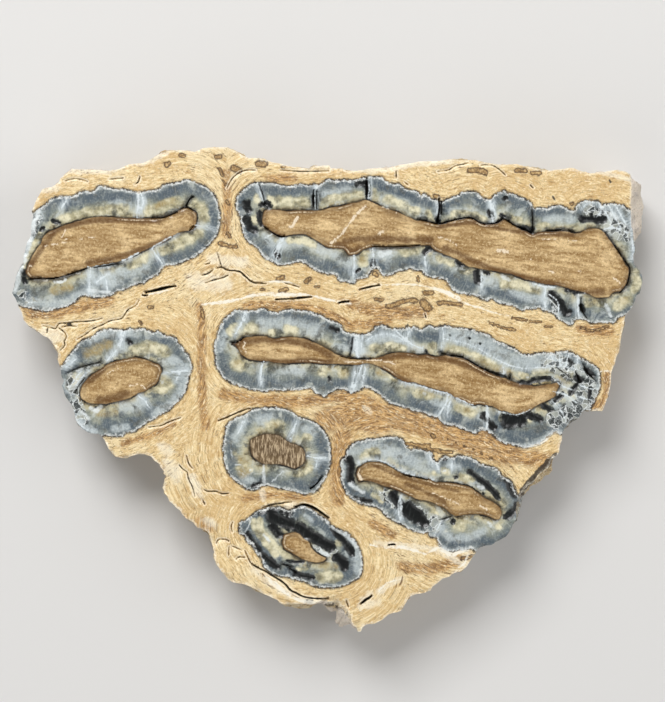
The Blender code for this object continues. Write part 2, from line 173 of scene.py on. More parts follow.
left_plate = outline(
    -38.2, 3, -37.5, 3.67, -37.1, 4.2, -36.7, 4.8, -36.2, 5.5, -35.6, 6.2, -35.2, 6.67, -34.5, 7.2, -33.8,
    7.5, -33.2, 7.67, -32.67, 8.2, -32, 8.6, -31.3, 8.6, -30.8, 8.75, -30.2, 8.67, -29.3, 8.6, -28.5, 8.6,
    -28.2, 8.8, -27.5, 8.67, -26.8, 8.8, -26, 8.75, -25.5, 8.5, -24.8, 8.2, -24.2, 8.4, -23.67, 8.1, -23, 7.8,
    -22.3, 7.67, -21.67, 7.4, -21.3, 6.8, -20.67, 6, -20, 5.2, -19.8, 4.67, -19.5, 4, -19.4, 3.3, -19.67, 2.5,
    -20, 1.3, -20.25, 0.3, -20.67, -0.5, -21.3, -1.3, -22, -1.9, -22.67, -2.67, -23.5, -3, -24.2, -3.5, -25,
    -4, -25.67, -4.25, -26.3, -4.8, -27, -5.2, -27.3, -5.6, -28, -5.6, -28.67, -5.8, -29.2, -6.2, -30, -6.25,
    -30.8, -6.2, -31.67, -6.1, -32.3, -6.3, -33.4, -6.3, -34.4, -6,
    -35.2, -5.5, -35.9, -4.5, -36.3, -3, -36.8, -1.7, -37.5, -0.9, -37.9, 0.6, -38.1, 2)
left_dentine = outline(
    -34.9, -1, -35.1, -0.3, -34.9, 0.5, -34.5, 1.3, -33.67, 2.2, -32.8, 2.8, -32, 3.3, -31.2, 3.9, -30.2,
    4.25, -29.2, 4.5, -28.3, 4.67, -27.5, 4.8, -26.5, 4.67, -25.5, 4.4, -24.67, 4, -24, 3.8, -23.67, 3.3,
    -23.6, 2.8, -23.8, 2.3, -24, 1.67, -24.4, 1, -25, 0.67, -25.67, 0.2, -26.2, -0.1, -27, -0.3, -27.67,
    -0.75, -28.5, -1.1, -29.67, -1.4, -30.67, -1.6,
    -31.5, -1.8, -32.3, -1.75, -33.2, -1.75, -34, -1.6, -34.5, -1.3)
long_middle_plate = outline(
    -16.1, 5, -16.2, 5.8, -16.2, 6.67, -15.9, 7.3, -15.8, 8.2, -15.5, 8.8, -15.2, 9.67, -14.67, 10.3, -14,
    10.8, -13.5, 11.2, -12.8, 11.4, -12, 11.3, -11.2, 11.3, -10.2, 11.4, -9.67, 11.6, -9.1, 11.5, -8.67,
    11.25, -8, 11.1, -7.2, 11.1, -6.5, 11.3, -5.67, 11.5, -4.8, 11.4, -4, 11.3, -3, 11.2, -2.3, 10.9, -1.5,
    10.67, -0.67, 10.25, -0.2, 10, 0.3, 9.8, 1, 9.6, 1.5, 9.2, 1.8, 8.5, 2.3, 8.2, 3, 8.1, 4, 7.97, 5, 8, 5.5,
    8.25, 6, 8.6, 6.25, 9, 7, 9.25, 7.5, 9.2, 8.2, 8.9, 9, 8.75, 9.8, 8.8, 10.5, 8.8, 10.8, 9.2, 11.3, 8.8,
    11.8, 9.1, 12.3, 8.75, 12.8, 8.6, 13.5, 9.2, 14, 9.2, 14.67, 8.9, 15.2, 9.1, 16.2, 9.2, 17, 9, 18, 8.9,
    19, 8.75, 19.8, 8.6, 20.8, 8.25, 21.8, 8.1, 22.5, 7.6, 23, 7.2, 23.8, 6.8, 24.67, 6.5, 25.5, 6.1, 26.2,
    5.67, 26.67, 5.25, 27.3, 5.2, 28, 5.1, 28.8, 5.3, 30, 5.4, 31, 5.3, 32, 5.5, 33, 5.6, 33.8, 5.4, 34.67,
    4.9, 35.2, 4.67, 35.8, 4.25, 36.67, 3.8, 37.3, 3.3, 37.67, 2.67, 37.75, 1.67, 37.75, 0.67, 37.5, 0, 37.2,
    -0.8, 36.67, -1.8, 36.3, -2.5, 35.8, -3, 35.4, -3.3, 34.6, -4.2, 33.6, -4.7, 32.8, -5.7, 32.2, -5.95,
    31.5, -5.67, 30.8, -6, 30.2, -6.5, 29.3, -7.2, 28.3, -7.6, 27.3, -7.8, 26.8, -7.75, 25.8, -7.5, 24.8,
    -7.25, 23.8, -6.9, 23, -6.3, 22.5, -5.9, 22, -5.5, 21, -5.3, 20.5, -5.75, 19.8, -5.75, 19, -5.4, 18.2,
    -5.1, 17.5, -4.75, 16.5, -4.67, 15.67, -4.3, 15.2, -3.8, 14.5, -3.5, 13.5, -3.2, 12.8, -2.8, 11.8, -2.75,
    11, -2.4, 10, -2.1, 9, -1.8, 8.3, -1.6, 7.67, -1.1, 7.2, -0.6, 6.5, -0.1, 6, 0.25, 5.3, 0.5, 4.67, 0.67,
    4.2, 0.3, 3.5, 0, 2.83, -0.17, 2, 0.4, 1.3, 0.3, 0.67, 0.3, 0.2, 0, -0.3, -0.3, -0.8, -0.67, -1.67, -0.3,
    -2.2, -0.1, -2.5, 0.5, -3.2, 0.5, -4, 0.4, -5.2, 0.3, -6, 0.25, -6.5, 0.17, -7.3, 0.17, -8.2, 0.25, -9, 0,
    -10, 0.17, -11.2, 0.3,
    -12.2, 0.67, -13, 0.9, -14, 1.3, -14.8, 1.8, -15.3, 2.5, -15.75, 3.2, -16.1, 4)
long_middle_dentine = outline(
    -13.8, 6.67, -13.2, 6.8, -12.67, 7.25, -12, 7.6, -11.2, 7.7, -10.3, 7.8, -9.3, 7.8, -8.67, 7.67, -7.8,
    7.4, -7, 7.6, -6.2, 7.67, -5.3, 7.7, -4.5, 7.6, -3.5, 7.4, -2.5, 7, -1.67, 6.67, -0.8, 6.2, 0.2, 5.67,
    0.8, 5.25, 1.67, 5, 2.67, 4.8, 4.5, 4.5, 6, 4.67, 7, 4.9, 8.2, 5.3, 9.3, 5.5, 10.5, 5.5, 11.67, 5.3,
    12.67, 5.1, 13.3, 5.25, 14.67, 4.9, 15.5, 5, 16.2, 5.1, 17, 4.9, 17.8, 4.8, 18.67, 4.6, 19.5, 4.2, 20.3,
    3.67, 21.2, 3.25, 22, 2.75, 22.8, 2.4, 23.67, 2.1, 24.5, 1.9, 25.3, 1.5, 26.2, 1.2, 27, 1, 28, 0.9, 28.67,
    0.8, 30, 1, 31.3, 1.2, 32, 1.3, 32, 0.67, 31.67, 0, 31.5, -0.67, 30.67, -1.2, 29.67, -1.6, 28.8, -2.1,
    28.2, -2.5, 27.5, -2.9, 26.67, -3.2, 25.67, -3.2, 24.5, -2.8, 23.67, -2.67, 22.8, -2.2, 22, -2, 20.8,
    -1.8, 20, -1.9, 19.3, -1.67, 18.3, -1.2, 17.3, -0.8, 16.67, -0.3, 15.8, 0, 15, 0.2, 14, 0.5, 12.67, 0.9,
    11.67, 1.25, 10.67, 1.25, 10, 1.5, 9.2, 1.9, 8.2, 2.67, 7, 3.3, 6, 3.75, 5, 3.9, 3.67, 3.67, 2.67, 3.75,
    1.3, 3.8, -0.3, 3.8, -2, 3.9, -2.8, 4, -4.5, 4, -6.2, 3.9, -7.8, 4, -8.67, 4.2, -9.3, 4.2, -10.3, 4.3,
    -11.2, 4.4, -12, 4.8, -12.67, 5.3,
    -13.2, 6.3)
small_plate = outline(
    -15, -8, -14.9, -6.8, -14.67, -5.67, -14.5, -4.8, -14, -4.2, -13.2, -3.67, -12.3, -3.4, -11.67, -3.1,
    -10.8, -2.5, -10, -2.4, -9.2, -2.3, -8.2, -2.3, -7.3, -2.3, -6.5, -2.5, -5.67, -2.67, -5, -3.2, -4.2,
    -3.67, -3.2, -3.9, -2.5, -4.25, -1.8, -4.67, -1.3, -5.2, -0.8, -5.8, -0.3, -6.67, -0.1, -7.5, 0, -8.5, 0,
    -9.67, -0.3, -11, -0.67, -12, -1.2, -12.8, -1.8, -13.67, -2.5, -14.2, -3.2, -14.2, -3.5, -14.4, -4,
    -14.25, -4.8, -14, -5.67, -13.75, -6.5, -13.67, -7.3, -13.5, -8.2, -13.2, -8.8, -13.1, -9.67, -13.2,
    -10.3, -13.67, -11.2, -13.75, -12, -13.4, -12.67, -12.9, -13.5, -12.3, -14, -11.75, -14.5, -11,
    -14.75, -10.2, -14.9, -9.2)
small_dentine = outline(
    -11.3, -7, -11.2, -6.67, -10.3, -6.25, -9.5, -6, -8.67, -5.9, -7.67, -6, -7, -6.2, -6.2, -6.8, -5.3,
    -7.25, -4.5, -7.5, -3.8, -8, -3.5, -8.8, -3.5, -9.67, -4, -10.3, -5, -10.8,
    -6, -10.5, -7, -10.25, -8, -10.2, -9, -10.2, -9.8, -10, -10.5, -9.5, -11, -9, -11.2, -8.2)
lower_right_plate = outline(
    1.67, -12.8, 1.5, -12, 1.6, -11, 1.4, -10.2, 1.67, -9.5, 2.2, -9, 2.3, -8.3, 3, -7.5, 3.8, -7, 4.5, -6.9,
    5.3, -6.67, 6.3, -6.67, 7.2, -6.5, 8.2, -6.4, 9.2, -6.4, 10, -6.67, 10.3, -7.2, 10.67, -7.8, 11.2, -8.25,
    12, -8, 12.67, -8.2, 13.5, -8.4, 14.2, -8.67, 14.3, -9.5, 14.8, -9.9, 15.2, -9.67, 15.67, -9.2, 16.2, -9,
    16.8, -9.3, 17.2, -9.3, 17.8, -8.9, 18.67, -9.1, 19.5, -9.3, 20.2, -9.67, 21, -10.1, 21.8, -10.4, 22.67,
    -10.6, 23.5, -11, 24, -11.8, 24.8, -12.25, 25.25, -12.6, 25.6, -13.2, 25.9, -14, 26.5, -14.8, 28, -14.6,
    27.6, -16.2, 27.2, -18.2, 26, -19.4, 25.2, -20.4, 23.8, -21.4, 22.4, -22, 21, -22.2, 20.2, -22.3, 19.8,
    -21.9, 19, -22.1, 17.8, -22.2, 17, -22.4, 16.2, -22.25, 15.5, -21.8, 15.2, -21.2, 14.8, -20.5, 14, -20.3,
    13.67, -19.67, 13, -19.75, 11.8, -19.5, 10.67, -19, 9.8, -18.5, 9, -18.2, 8, -17.5, 7.3, -16.8, 6.5,
    -16.2, 5.3, -15.9, 4.2, -15.67,
    3.2, -15.1, 2.5, -14.5, 2, -13.67)
lower_right_dentine = outline(
    3.6, -11.67, 3.8, -10.8, 4.4, -10.3, 5, -9.9, 6, -9.8, 7, -9.9, 7.8, -10.2, 8.67, -10.67, 9.5, -11.2,
    10.3, -11.5, 11.3, -11.8, 12.5, -12.1, 14, -12.3, 14.67, -12.67, 16, -12.67, 17.2, -12.8, 18.3, -13, 19.3,
    -13.25, 20.2, -13.75, 21, -14.4, 21.67, -14.9, 22.5, -15.3, 23.3, -15.8, 23.8, -16.3, 24, -17, 23.8,
    -17.67, 23.5, -18, 23, -17.9, 22.3, -17.6, 21.5, -17.3, 20.67, -17.2, 19.67, -17.2, 18.67, -17.3, 17.67,
    -17.5, 17, -17.25, 16.3, -16.67, 15.67, -16.2, 15, -16, 14.3, -15.6, 13.3, -15.3, 12.3, -15.2, 11.3,
    -14.75, 10.3, -14.3, 9.2, -13.8, 8.3, -13.5, 7.3, -13.2, 6.3, -12.8, 5.5, -12.6, 4.67, -12.5,
    4, -12.6, 3.75, -12.2)
bottom_plate = outline(
    -12.75, -19, -12.6, -18.3, -11.8, -18, -11.2, -17.5, -10.8, -17.2, -10.2, -16.75, -9.5, -16.6, -8.8,
    -16.3, -8.2, -16.2, -7.2, -16.2, -6.5, -16.5, -5.67, -16.67, -4.8, -16.3, -4, -16, -3.2, -16.3, -2.3,
    -16.8, -1.67, -17.3, -0.8, -17.8, -0.3, -18.3, 0.2, -18.8, 1, -19.3, 2, -19.67, 2.8, -20.2, 3.5, -21, 3.9,
    -21.8, 4.25, -22.67, 4.4, -23.67, 4.4, -24.67, 4.2, -25.67, 3.5, -26.3, 2.67, -26.8, 1.67, -27.2, 0.67,
    -27.4, -0.3, -27.5, -1.3, -27.4, -2.2, -27.25, -3, -26.9, -3.67, -26.6, -4.5, -26.4, -5.2, -26.2, -6,
    -25.9, -7, -25.8, -7.8, -25.6, -8.5, -25.2, -9, -24.8, -9.4, -24.2, -9.67, -23.5, -10.1, -22.8,
    -10.6, -22.2, -11, -21.5, -11.67, -20.9, -12, -20.2, -12.67, -19.8)
bottom_dentine = outline(
    -6.5, -20, -5.67, -19.75, -5, -19.67, -4.3, -19.9, -3.8, -20.5, -3, -21, -2.67, -21.8, -2, -22.5, -1.2,
    -23, -0.5, -23.3, -1, -23.8, -2, -24, -3, -23.8, -4, -23.5, -4.8, -23,
    -5.67, -22.5, -6.5, -22, -6.8, -21.2, -6.67, -20.5)
plates = (
    (upper_left_plate, upper_left_dentine), (long_upper_plate, long_upper_dentine),
    (left_plate, left_dentine), (long_middle_plate, long_middle_dentine),
    (small_plate, small_dentine), (lower_right_plate, lower_right_dentine),
    (bottom_plate, bottom_dentine),
)

# The marks in the enamel: each band is glassy blue grey, with cream and ochre clouds, frosted
# white chips and black hollows that came with the fossilising; some of the white marks are painted
# glints. Half width, then x, y, x, y ... of a stroke's middle line, or of a spot.
enamel_marks = {
    "slate": (
        (1.3, -12, -18.6, -10, -21.8, -7, -24.6, -3, -26), (1.0, -10, -16.8, -4, -16.6, 1, -19, 3.4, -22.8),
        (0.9, 3, -9, 2.6, -11.6, 4, -14.4), (1.1, 8, -15, 12, -17.6, 15, -19), (1.0, 21.5, -8.8, 24.6, -11.4,
         26, -14.6), (1.2, 21, -4, 25, -5.2, 30, -4.6), (0.8, -38.5, 26.3, -35, 26.9, -32, 27.4, -29, 27.2,
         -27.3, 27),
        (0.7, -26.3, 27.3, -24, 27.6, -21, 28.3, -19, 28.2, -17.2, 26.9, -16.4, 25.2, -16.3, 23.6,
         -16.7, 22), (0.35, -34, 26.4, -31, 26.9, -28, 26.6), (0.8, -42.6, 14.1, -40, 14.2),
        (0.6, -24.6, 17.8, -23.6, 18.4, -21.5, 18.6, -19.5, 19.4, -18, 20.3), (0.9, -12.3, 26.5, -12.3, 24.5,
         -11.8, 22.5, -10.8, 21.3, -9.5, 20.3), (0.6, -9, 28.4, -7, 28.2, -5, 28, -3, 28.1), (0.5, -1, 28.7,
         1, 28.8, 3, 29), (0.7, 6.5, 29.4, 8, 28.7, 10, 27.7, 12, 27, 14, 26.2), (0.5, 14.2, 25.6, 14.5,
         24.6), (0.9, 16.5, 26.2, 18, 26.7, 20, 26.8, 21.5, 26), (0.6, 23, 26.8, 24, 27, 25.5, 26.8, 27, 26,
         28, 25), (0.7, 29, 24.9, 31, 25.2, 33.5, 24.8), (0.6, -9, 21, -7.6, 19.5), (0.6, -6.5, 19, -5, 19.3,
         -3.5, 19, -2, 18.2, 0, 17.5, 1.5, 17), (0.8, 6.5, 18, 8, 17.6, 10, 18.2, 12, 18.3), (0.7, 14.3, 17.3,
         16.2, 16.6), (0.9, 17, 16, 18.5, 15.3, 20, 14.6), (0.7, 22, 14.4, 24, 13.6, 26.5, 12.9),
        (0.5, 36.2, 10.6, 38, 10.6), (0.6, 33.2, 13.2, 33.5, 11.2), (0.6, 31.2, 13, 31.6, 11.5),
        (0.5, -24.8, 7.5, -23, 6.9, -21.5, 5.8), (0.8, -26, -1.5, -25.6, -3), (0.7, -31.5, -4.3, -29, -4.6,
         -27, -3.8), (0.6, -36.6, 4.2, -35.3, 5.6), (0.4, -36.8, 2.9, -35, 3.4, -33.5, 3.9), (0.4, -28.5,
         -5.2, -27.2, -4.8), (0.6, -14.6, 9.2, -13.6, 10.3), (0.5, -11.5, 10.6, -9, 10.8, -6, 10.8, -3.5,
         10.6, -1.2, 9.9), (0.5, 5.6, 8.2, 7.5, 8.6, 9.3, 8.2), (0.8, 12.2, 7.6, 13.6, 7.6, 14.7, 7.3),
        (0.7, -10.3, 3.4, -10.2, 1.8), (0.6, -8.3, 1, -6, 0.9, -4, 1), (0.5, 0, 1.4, 2, 1), (0.6, 5.3, 1.4, 7,
         0.9, 8.6, 0.4), (0.7, 11, -0.9, 12.5, -1.9, 14.5, -2.6), (0.7, 16.3, -3.4, 18, -4.2, 20.5, -4.8),
        (1.3, 22.9, -3.6, 24.5, -5.6, 26.8, -5.9, 28.6, -5), (0.7, -6.7, -4, -5.7, -4.1), (0.8, -1.3, -6.2,
         -1.1, -7.6, -1.2, -8.8), (0.7, -4.5, -13.2, -3, -13.3, -2, -12.6), (0.8, -1.6, -11.5, -1, -10),
        (0.7, 17.5, -10, 19.5, -10.3, 21.5, -11.3, 23, -12, 24.3, -13), (0.9, 24.3, -13.6, 25, -15, 25,
         -16.6), (0.8, 3.2, -14.6, 5, -15.2, 6.6, -15), (0.7, 15, -20, 17.5, -21, 20, -21.2, 22.5, -20.8),
        (0.5, 10.5, -15.3, 13.5, -16.5), (0.7, -11, -19, -10.8, -20.5, -9.9, -22, -8.7, -23.5),
        (0.6, -3, -17.2, -1.5, -18.6, 0.5, -19.9), (0.7, 3, -22.5, 3.4, -24.3, 2.8, -25.6)),
    "pale": (
        (0.7, -42, 12.6, -39.5, 12.2, -37, 12.6, -35, 13.5, -33, 14.3), (0.6, -40.4, 25, -41.2, 23.5),
        (1.1, -33, 16, -31.5, 15.5, -30, 15.8), (0.5, -26.4, 27.1, -26.2, 26.2, -26.8, 25.2),
        (0.8, -30, 26, -28.5, 25.9), (0.9, -29.4, 16.6, -27, 17, -25.6, 18.4), (0.8, -6.3, 20.4, -5, 21.2,
         -3.5, 21.1, -1.5, 20, 0.5, 19.2, 2.5, 18), (0.9, 7.6, 26.9, 9.5, 26.4, 11.5, 25.4, 13.2, 24.7),
        (0.9, -0.7, 27.4, 1, 27.6, 2.5, 28), (0.8, 6.6, 19.4, 7.5, 19.1, 8.5, 19.5), (0.5, 17, 25.3, 19.5,
         25.2, 21.8, 24.4), (0.8, 14.8, 18.8, 16.5, 18.2, 17.5, 17.5), (0.8, 21.8, 15.7, 23, 15.2),
        (0.8, 25.5, 14.2, 27.5, 13.2, 30, 13), (0.7, 38.8, 21.8, 40.5, 22.5), (0.5, 22.5, 26, 22.8, 24.4),
        (0.6, 30.3, 24.1, 32, 24.2, 33.8, 24), (0.7, -8.3, 20.6, -9, 21.8), (0.6, -33.5, 7.2, -31.5, 8, -29.5,
         8.2, -27, 8), (0.7, -23.5, 4, -21.5, 4.3, -20.5, 3), (0.6, -20.3, 3.5, -20.8, 0.5, -22.5, -1.8,
         -24.5, -3), (0.5, -37.3, 1.5, -36.8, 0), (0.9, -29, -2.2, -27, -2, -26.5, -1), (0.5, -35.8, -0.2,
         -35.5, -2.5, -34.5, -4.6, -33, -5.6), (0.5, -30.3, -5.2, -28.5, -5), (0.6, -31, 5, -29, 6.2),
        (0.5, -36.8, 3.9, -36, 4.9), (1.2, -9.5, 9.2, -7, 9.3, -4.5, 9, -2, 8.3), (0.8, 5.7, 6.7, 7, 7.2, 9,
         7, 11, 6.3), (0.8, 16.5, 8, 19, 7.7, 21, 7, 23, 6, 25, 4.9, 27, 4.3, 30, 4.4, 33, 4.4),
        (0.7, -7.5, 3, -5.5, 3.1, -4, 2.6), (0.5, 20.8, -3.5, 21.6, -3.8), (0.5, 14.2, -1.4, 16, -2),
        (0.6, 3.8, 7.2, 3.9, 5.5), (0.6, -14.8, 8, -15.3, 6), (0.7, 0.8, 6.3, 2, 6), (0.9, -9.8, -4, -8.5,
         -3.8), (0.7, -12.5, -5, -13.2, -6.5), (0.6, -12, -12, -10.8, -12.6), (0.7, -3.4, -5.3, -2.6, -5.6),
        (1.1, 7.5, -8.3, 9.5, -8.8, 11.5, -9.8, 13.5, -10.4), (0.7, 3, -8.5, 4.5, -8, 6, -7.6),
        (0.6, 20.3, -12.9, 21.3, -13.5), (0.6, 15.5, -19, 17, -20.5, 19.5, -20.3, 21.5, -19.5),
        (0.5, 16.5, -10.3, 18, -10.6), (0.3, 1.9, -12, 1.9, -10.5), (0.3, -7.8, -18.1, -6.8, -18.4, -5.8,
         -18.3), (0.7, 1.6, -20.3, 2.8, -21.5, 3.6, -23, 3.8, -24.8), (0.8, -1.7, -22, -0.5, -22.6),
        (0.35, -3.7, -17.3, -2.6, -18)),
    "cream": (
        (0.4, 23.4, -2.5), (0.35, 27.2, -3.6), (0.45, -10.9, -18.2, -9.6, -20.6, -7.6, -22.8),
        (0.4, 0.6, -21.4), (0.45, 6, -14.4, 7.2, -15.2), (0.75, -37.2, 24.1, -35, 24.8, -33, 25.2, -31, 25.6,
         -28.9, 25.5), (0.8, -25.3, 25.3, -23.5, 25.9, -21.6, 26.6), (0.85, -19.2, 26.3, -18.1, 25.6, -17.8,
         24.4), (0.9, -23.4, 20, -21.5, 20.6, -19.7, 21.5, -18.6, 22.2), (0.7, -28, 17.5, -26, 18.6),
        (0.3, -40.6, 22.2, -42, 19.6, -42.9, 17.4), (0.6, -10.2, 27, -9.7, 26.6), (0.6, -10.8, 24.1, -10.5,
         23.8), (0.7, -8.3, 26.7, -6, 26.6, -3.2, 26.5), (0.55, -0.9, 26.7, 1, 27.2, 2.5, 27.4),
        (0.5, 3.4, 27.7, 4.6, 27.6), (0.6, 5.9, 28.1, 6, 27.5), (0.7, 8, 27, 10, 26.1, 12, 25.2),
        (0.5, 13.6, 25, 13.9, 24.5), (0.5, 17.3, 24.9, 19.5, 24.9, 21.6, 24.2), (0.5, 25.2, 24.4, 26.5, 23.9),
        (0.35, 29.2, 23.3, 30.3, 23.3), (0.35, 33.6, 22.9, 34.5, 23.1), (0.6, -5.5, 21.2, -4, 21.3, -2.5,
         20.6), (0.75, 4.4, 19, 4.6, 18), (0.6, 10.3, 19.5, 11.9, 19.6), (0.6, 15.2, 18.6, 17, 17.9),
        (0.5, 18.5, 16.8, 19.3, 16.9), (0.8, 24.3, 15, 26.5, 14.9, 29, 14.2), (0.5, 36, 12.3, 38.3, 12.4),
        (0.7, 42.6, 16.8, 42.9, 15, 42.5, 14.2), (0.9, 40.3, 12.2, 41.6, 12.8), (0.9, -27.2, 5.9, -25, 6.2,
         -23.2, 5.6), (0.7, -24.3, 0.2, -23.2, 0.2, -22.6, 1), (0.8, -36.2, 0.7, -35.7, 1.9, -34.5, 3),
        (0.8, -13.9, 8.5, -13.1, 8.7), (0.8, -11.5, 9, -10.7, 8.9), (0.6, -8.2, 8.3, -8, 8.3),
        (0.7, -6, 8.7, -5, 8.5), (0.65, 6, 6, 8, 6.3, 10, 6.1), (0.6, 14.2, 6.4, 14.3, 6.2), (0.6, 17.2, 5.9,
         17.7, 5.9), (0.5, 26.6, 2.4, 27.4, 2.1), (0.35, 32.8, 2.5, 33.8, 2.5), (0.4, 19, 5.5, 21, 4.8, 23,
         3.8), (0.45, 28.5, 2.8, 31, 2.9, 32.8, 2.6), (0.9, -13.2, 3.9, -12.6, 3.6), (0.6, -1.3, 2.9, -0.9,
         2.7), (0.9, 1.7, 2.8, 1.9, 2.7), (0.5, 8.4, 2.4, 9.2, 1.6), (0.9, 12.4, -0.1, 13.8, -0.4),
        (0.9, 18.1, -2.3, 19.6, -2.8), (0.5, 24, -3.9), (0.4, 27.8, -4), (0.5, 33, 0.3, 34, -1),
        (0.9, -8.2, -4.8, -7.2, -4.8), (0.6, -3.6, -6.5, -3.1, -6.4), (0.35, -13.4, -8.6), (0.3, -12.7, -9.7),
        (0.3, -13, -10.7), (0.3, -12, -10.4), (0.4, -11.4, -11, -11.2, -11), (0.45, -4.8, -11.6, -3.6, -11.3,
         -2.7, -10.6), (0.8, 5, -8.9, 6.2, -8.5), (0.4, 14.5, -11.5), (0.45, 15.7, -11.1, 16.4, -11.3),
        (0.45, 18.3, -11.8, 20, -12.2), (0.45, 22.2, -13.8, 23.3, -14.6, 24.2, -15.8), (0.3, 6.5, -13.5),
        (0.3, 8.3, -14), (0.3, 9, -14.8), (0.5, 14.5, -17), (0.6, 17.6, -18.6, 18.5, -19), (0.4, 23.4, -18.9,
         23.6, -19), (0.5, -9.8, -18, -9.7, -19.3, -8.6, -20.7, -7.2, -22.1, -5.7, -23.1), (0.6, 1.2, -21.2),
        (0.3, -4.8, -18.4, -3.9, -19), (1.0, -1.2, -25.9, 0.8, -25.7),
        (0.3, -4.6, -24.9, -3.4, -24.8)),
    "ochre": (
        (0.5, -24.3, 26, -22.2, 26.7), (0.75, -38.8, 14.2, -36.8, 14.7), (0.35, 4.4, 18.6, 4.5, 18),
        (0.35, 37, 12.6), (0.5, 41, 12.7), (0.5, 5.2, 16.4, 6.2, 17.3), (0.8, -33.9, 5.3, -32.5, 5.9, -31.3,
         6.7), (0.6, -32.3, -3.1, -30.3, -3), (0.35, -36.3, 0.9, -35.8, 1.8), (0.6, -13, 3.8),
        (0.6, 1.9, 2.8), (0.4, 6.6, 2.7, 7.6, 2.2), (0.4, 12.4, 0.3, 13.6, 0.2, 14.2, -0.5), (0.4, 19, -2.6),
        (0.4, 28.3, 1.05, 31, 1.2), (0.5, 20.5, 4.3, 23, 3.1, 25, 2.6), (0.5, -7.7, -4.7), (0.8, -12.6, -9.5,
         -12, -11.5), (0.3, 22.8, -14.3, 23.8, -15.3), (0.5, -1.2, -24.6, 0.7, -24.5),
        (0.2, -3.7, -24.3), (0.35, 14.6, -9.4, 14.7, -9.3)),
    "white": (
        (0.14, -13.9, -8.2, -13.7, -9.4), (0.12, -13.3, -10.2, -12.6, -10.3), (0.12, -12.8, -11.2, -11.9,
         -11.8), (0.22, -38.7, 15.3, -37.4, 15.35, -37.05, 15.7), (0.22, -33.4, 17.8, -33.4, 17.4),
        (0.5, -40.9, 25.2, -41.5, 23.6, -42.2, 21, -42.9, 18.6, -43.5, 17, -43.8, 15.3, -44.3, 14),
        (0.3, -34, 14.2, -32.5, 14, -31, 13.9), (0.2, -32.3, 15.8, -31.2, 16.5), (0.35, 24, 16.2, 25, 15.6),
        (0.5, 7.1, 19.3, 8.3, 19.5), (0.3, 38.5, 12.2, 39.2, 10.6), (0.16, -9, 21.6, -8.2, 22),
        (0.14, 36.2, 25.2, 36.9, 25.3, 37.5, 24.8), (0.2, -1.8, 28.7, -2, 28.3), (0.2, 18.2, 17.2, 18.8, 17),
        (0.4, -33.6, -2.3, -32.8, -2.7, -32.1, -2.2), (0.28, -34.8, -2.9, -34.2, -3.3, -33.8, -3.9),
        (0.25, 9, 2), (0.3, 13.2, -0.3), (0.25, 27.5, 2), (0.28, -9.3, -10.3, -9.4, -11.5, -9.2, -12.8),
        (0.22, -11.3, -11), (0.14, -8.1, -12.6, -6.6, -11.1), (0.14, -12.2, -4, -13, -6), (0.35, 2.6, -12.9,
         3.6, -13.6, 4.6, -14.1), (0.35, 20.6, -13.2, 21.3, -13.5), (0.2, 22, -18.2, 22.5, -18.8),
        (0.25, 15.9, -11.1), (0.45, -3.5, -21, -3.7, -21.9), (0.14, -11.2, -18, -11.5, -19, -12, -19.6),
        (0.35, -1.3, -22.4, -0.5, -22.9), (0.25, -9.4, -20, -8.5, -21), (0.3, 0.3, -19.1, 1.7, -19.9, 3,
         -20.8, 3.7, -21.7),
        (0.5, 39.3, 24.8, 40.2, 24.4)),
    "black": (
        (0.6, -9.6, -16.7, -7.5, -16.3, -5.8, -16.8), (0.45, -11.6, -20, -9.6, -22.8, -7.4, -24.6),
        (0.5, 0.4, -19.4, 1.8, -20.8, 2.9, -22.6), (0.4, -5, -25.5, -2.6, -26.1), (0.7, 8.8, -14.6, 10.2,
         -16.4, 12, -18), (0.5, 22.6, -9.8, 24.4, -11.8, 25.7, -14.4), (0.4, 15.4, -8.5, 16, -9.4),
        (0.4, 19.4, -11.2, 21.8, -13, 23.6, -15), (0.5, 21.4, -3.4, 22.8, -5), (0.5, 27.4, -3.2, 29.3, -3.9),
        (0.4, 29.8, -2, 31, -2.6), (0.6, 31, 13.6, 32.3, 12.1, 33.1, 11), (0.35, 34.2, 13.9, 35.6, 14.1),
        (0.3, 5.2, 28.8, 5.3, 27.6), (0.3, -2.4, 27.2, -2.3, 26.3), (0.35, 22.2, 25.2, 22.6, 24.4),
        (0.35, 6, 18.4, 6, 17.6), (0.3, -7.6, 19.6, -7.3, 18.8), (0.4, -43.1, 16.7, -43, 15.9, -42.7, 15.3),
        (0.3, -38.8, 23.9, -38, 23.6), (0.22, -40.5, 22.6, -40.2, 22.9), (0.45, -9.6, 26.1, -9, 26.3, -8.7,
         25.9), (0.3, -9.95, 25.2, -9.95, 24.2, -9.6, 23.3), (0.55, -11.8, 26.5, -11.5, 25.4),
        (0.5, -11.8, 24.2, -11.3, 23, -10.6, 22.6), (0.5, 3.9, 29, 4.9, 29.1), (0.25, 4.6, 29.9, 5, 30.1),
        (0.25, 14.9, 24.1, 15.1, 23.8), (0.28, 24, 24.7, 24.4, 24.5), (0.22, 24.2, 27, 24.7, 27),
        (0.45, 26.9, 22.9, 28, 22.6), (0.5, 35.2, 24.2, 37, 24, 38.3, 24.1), (0.25, 36.5, 24.8),
        (0.4, 13.2, 19.5, 13.8, 20), (0.5, 20.5, 16.7, 20.6, 15.4), (0.25, 21.5, 16.7, 22.1, 16.5),
        (0.22, 3.7, 16.8, 4.1, 17.1), (0.3, 17.7, 18.1, 18.3, 17.6), (0.3, 33, 14.2, 34.2, 14.4),
        (0.35, 35, 12, 35.3, 11.2), (0.35, -28.3, 7.2, -28, 6.9), (0.1, -33, -2.15, -32.4, -2.1),
        (0.4, 0.1, 8.9, 0.9, 8.6), (0.18, 13.4, 5.6), (0.18, 15.4, 5.6), (0.35, 28.4, 1.6, 30, 1.8, 31, 1.75),
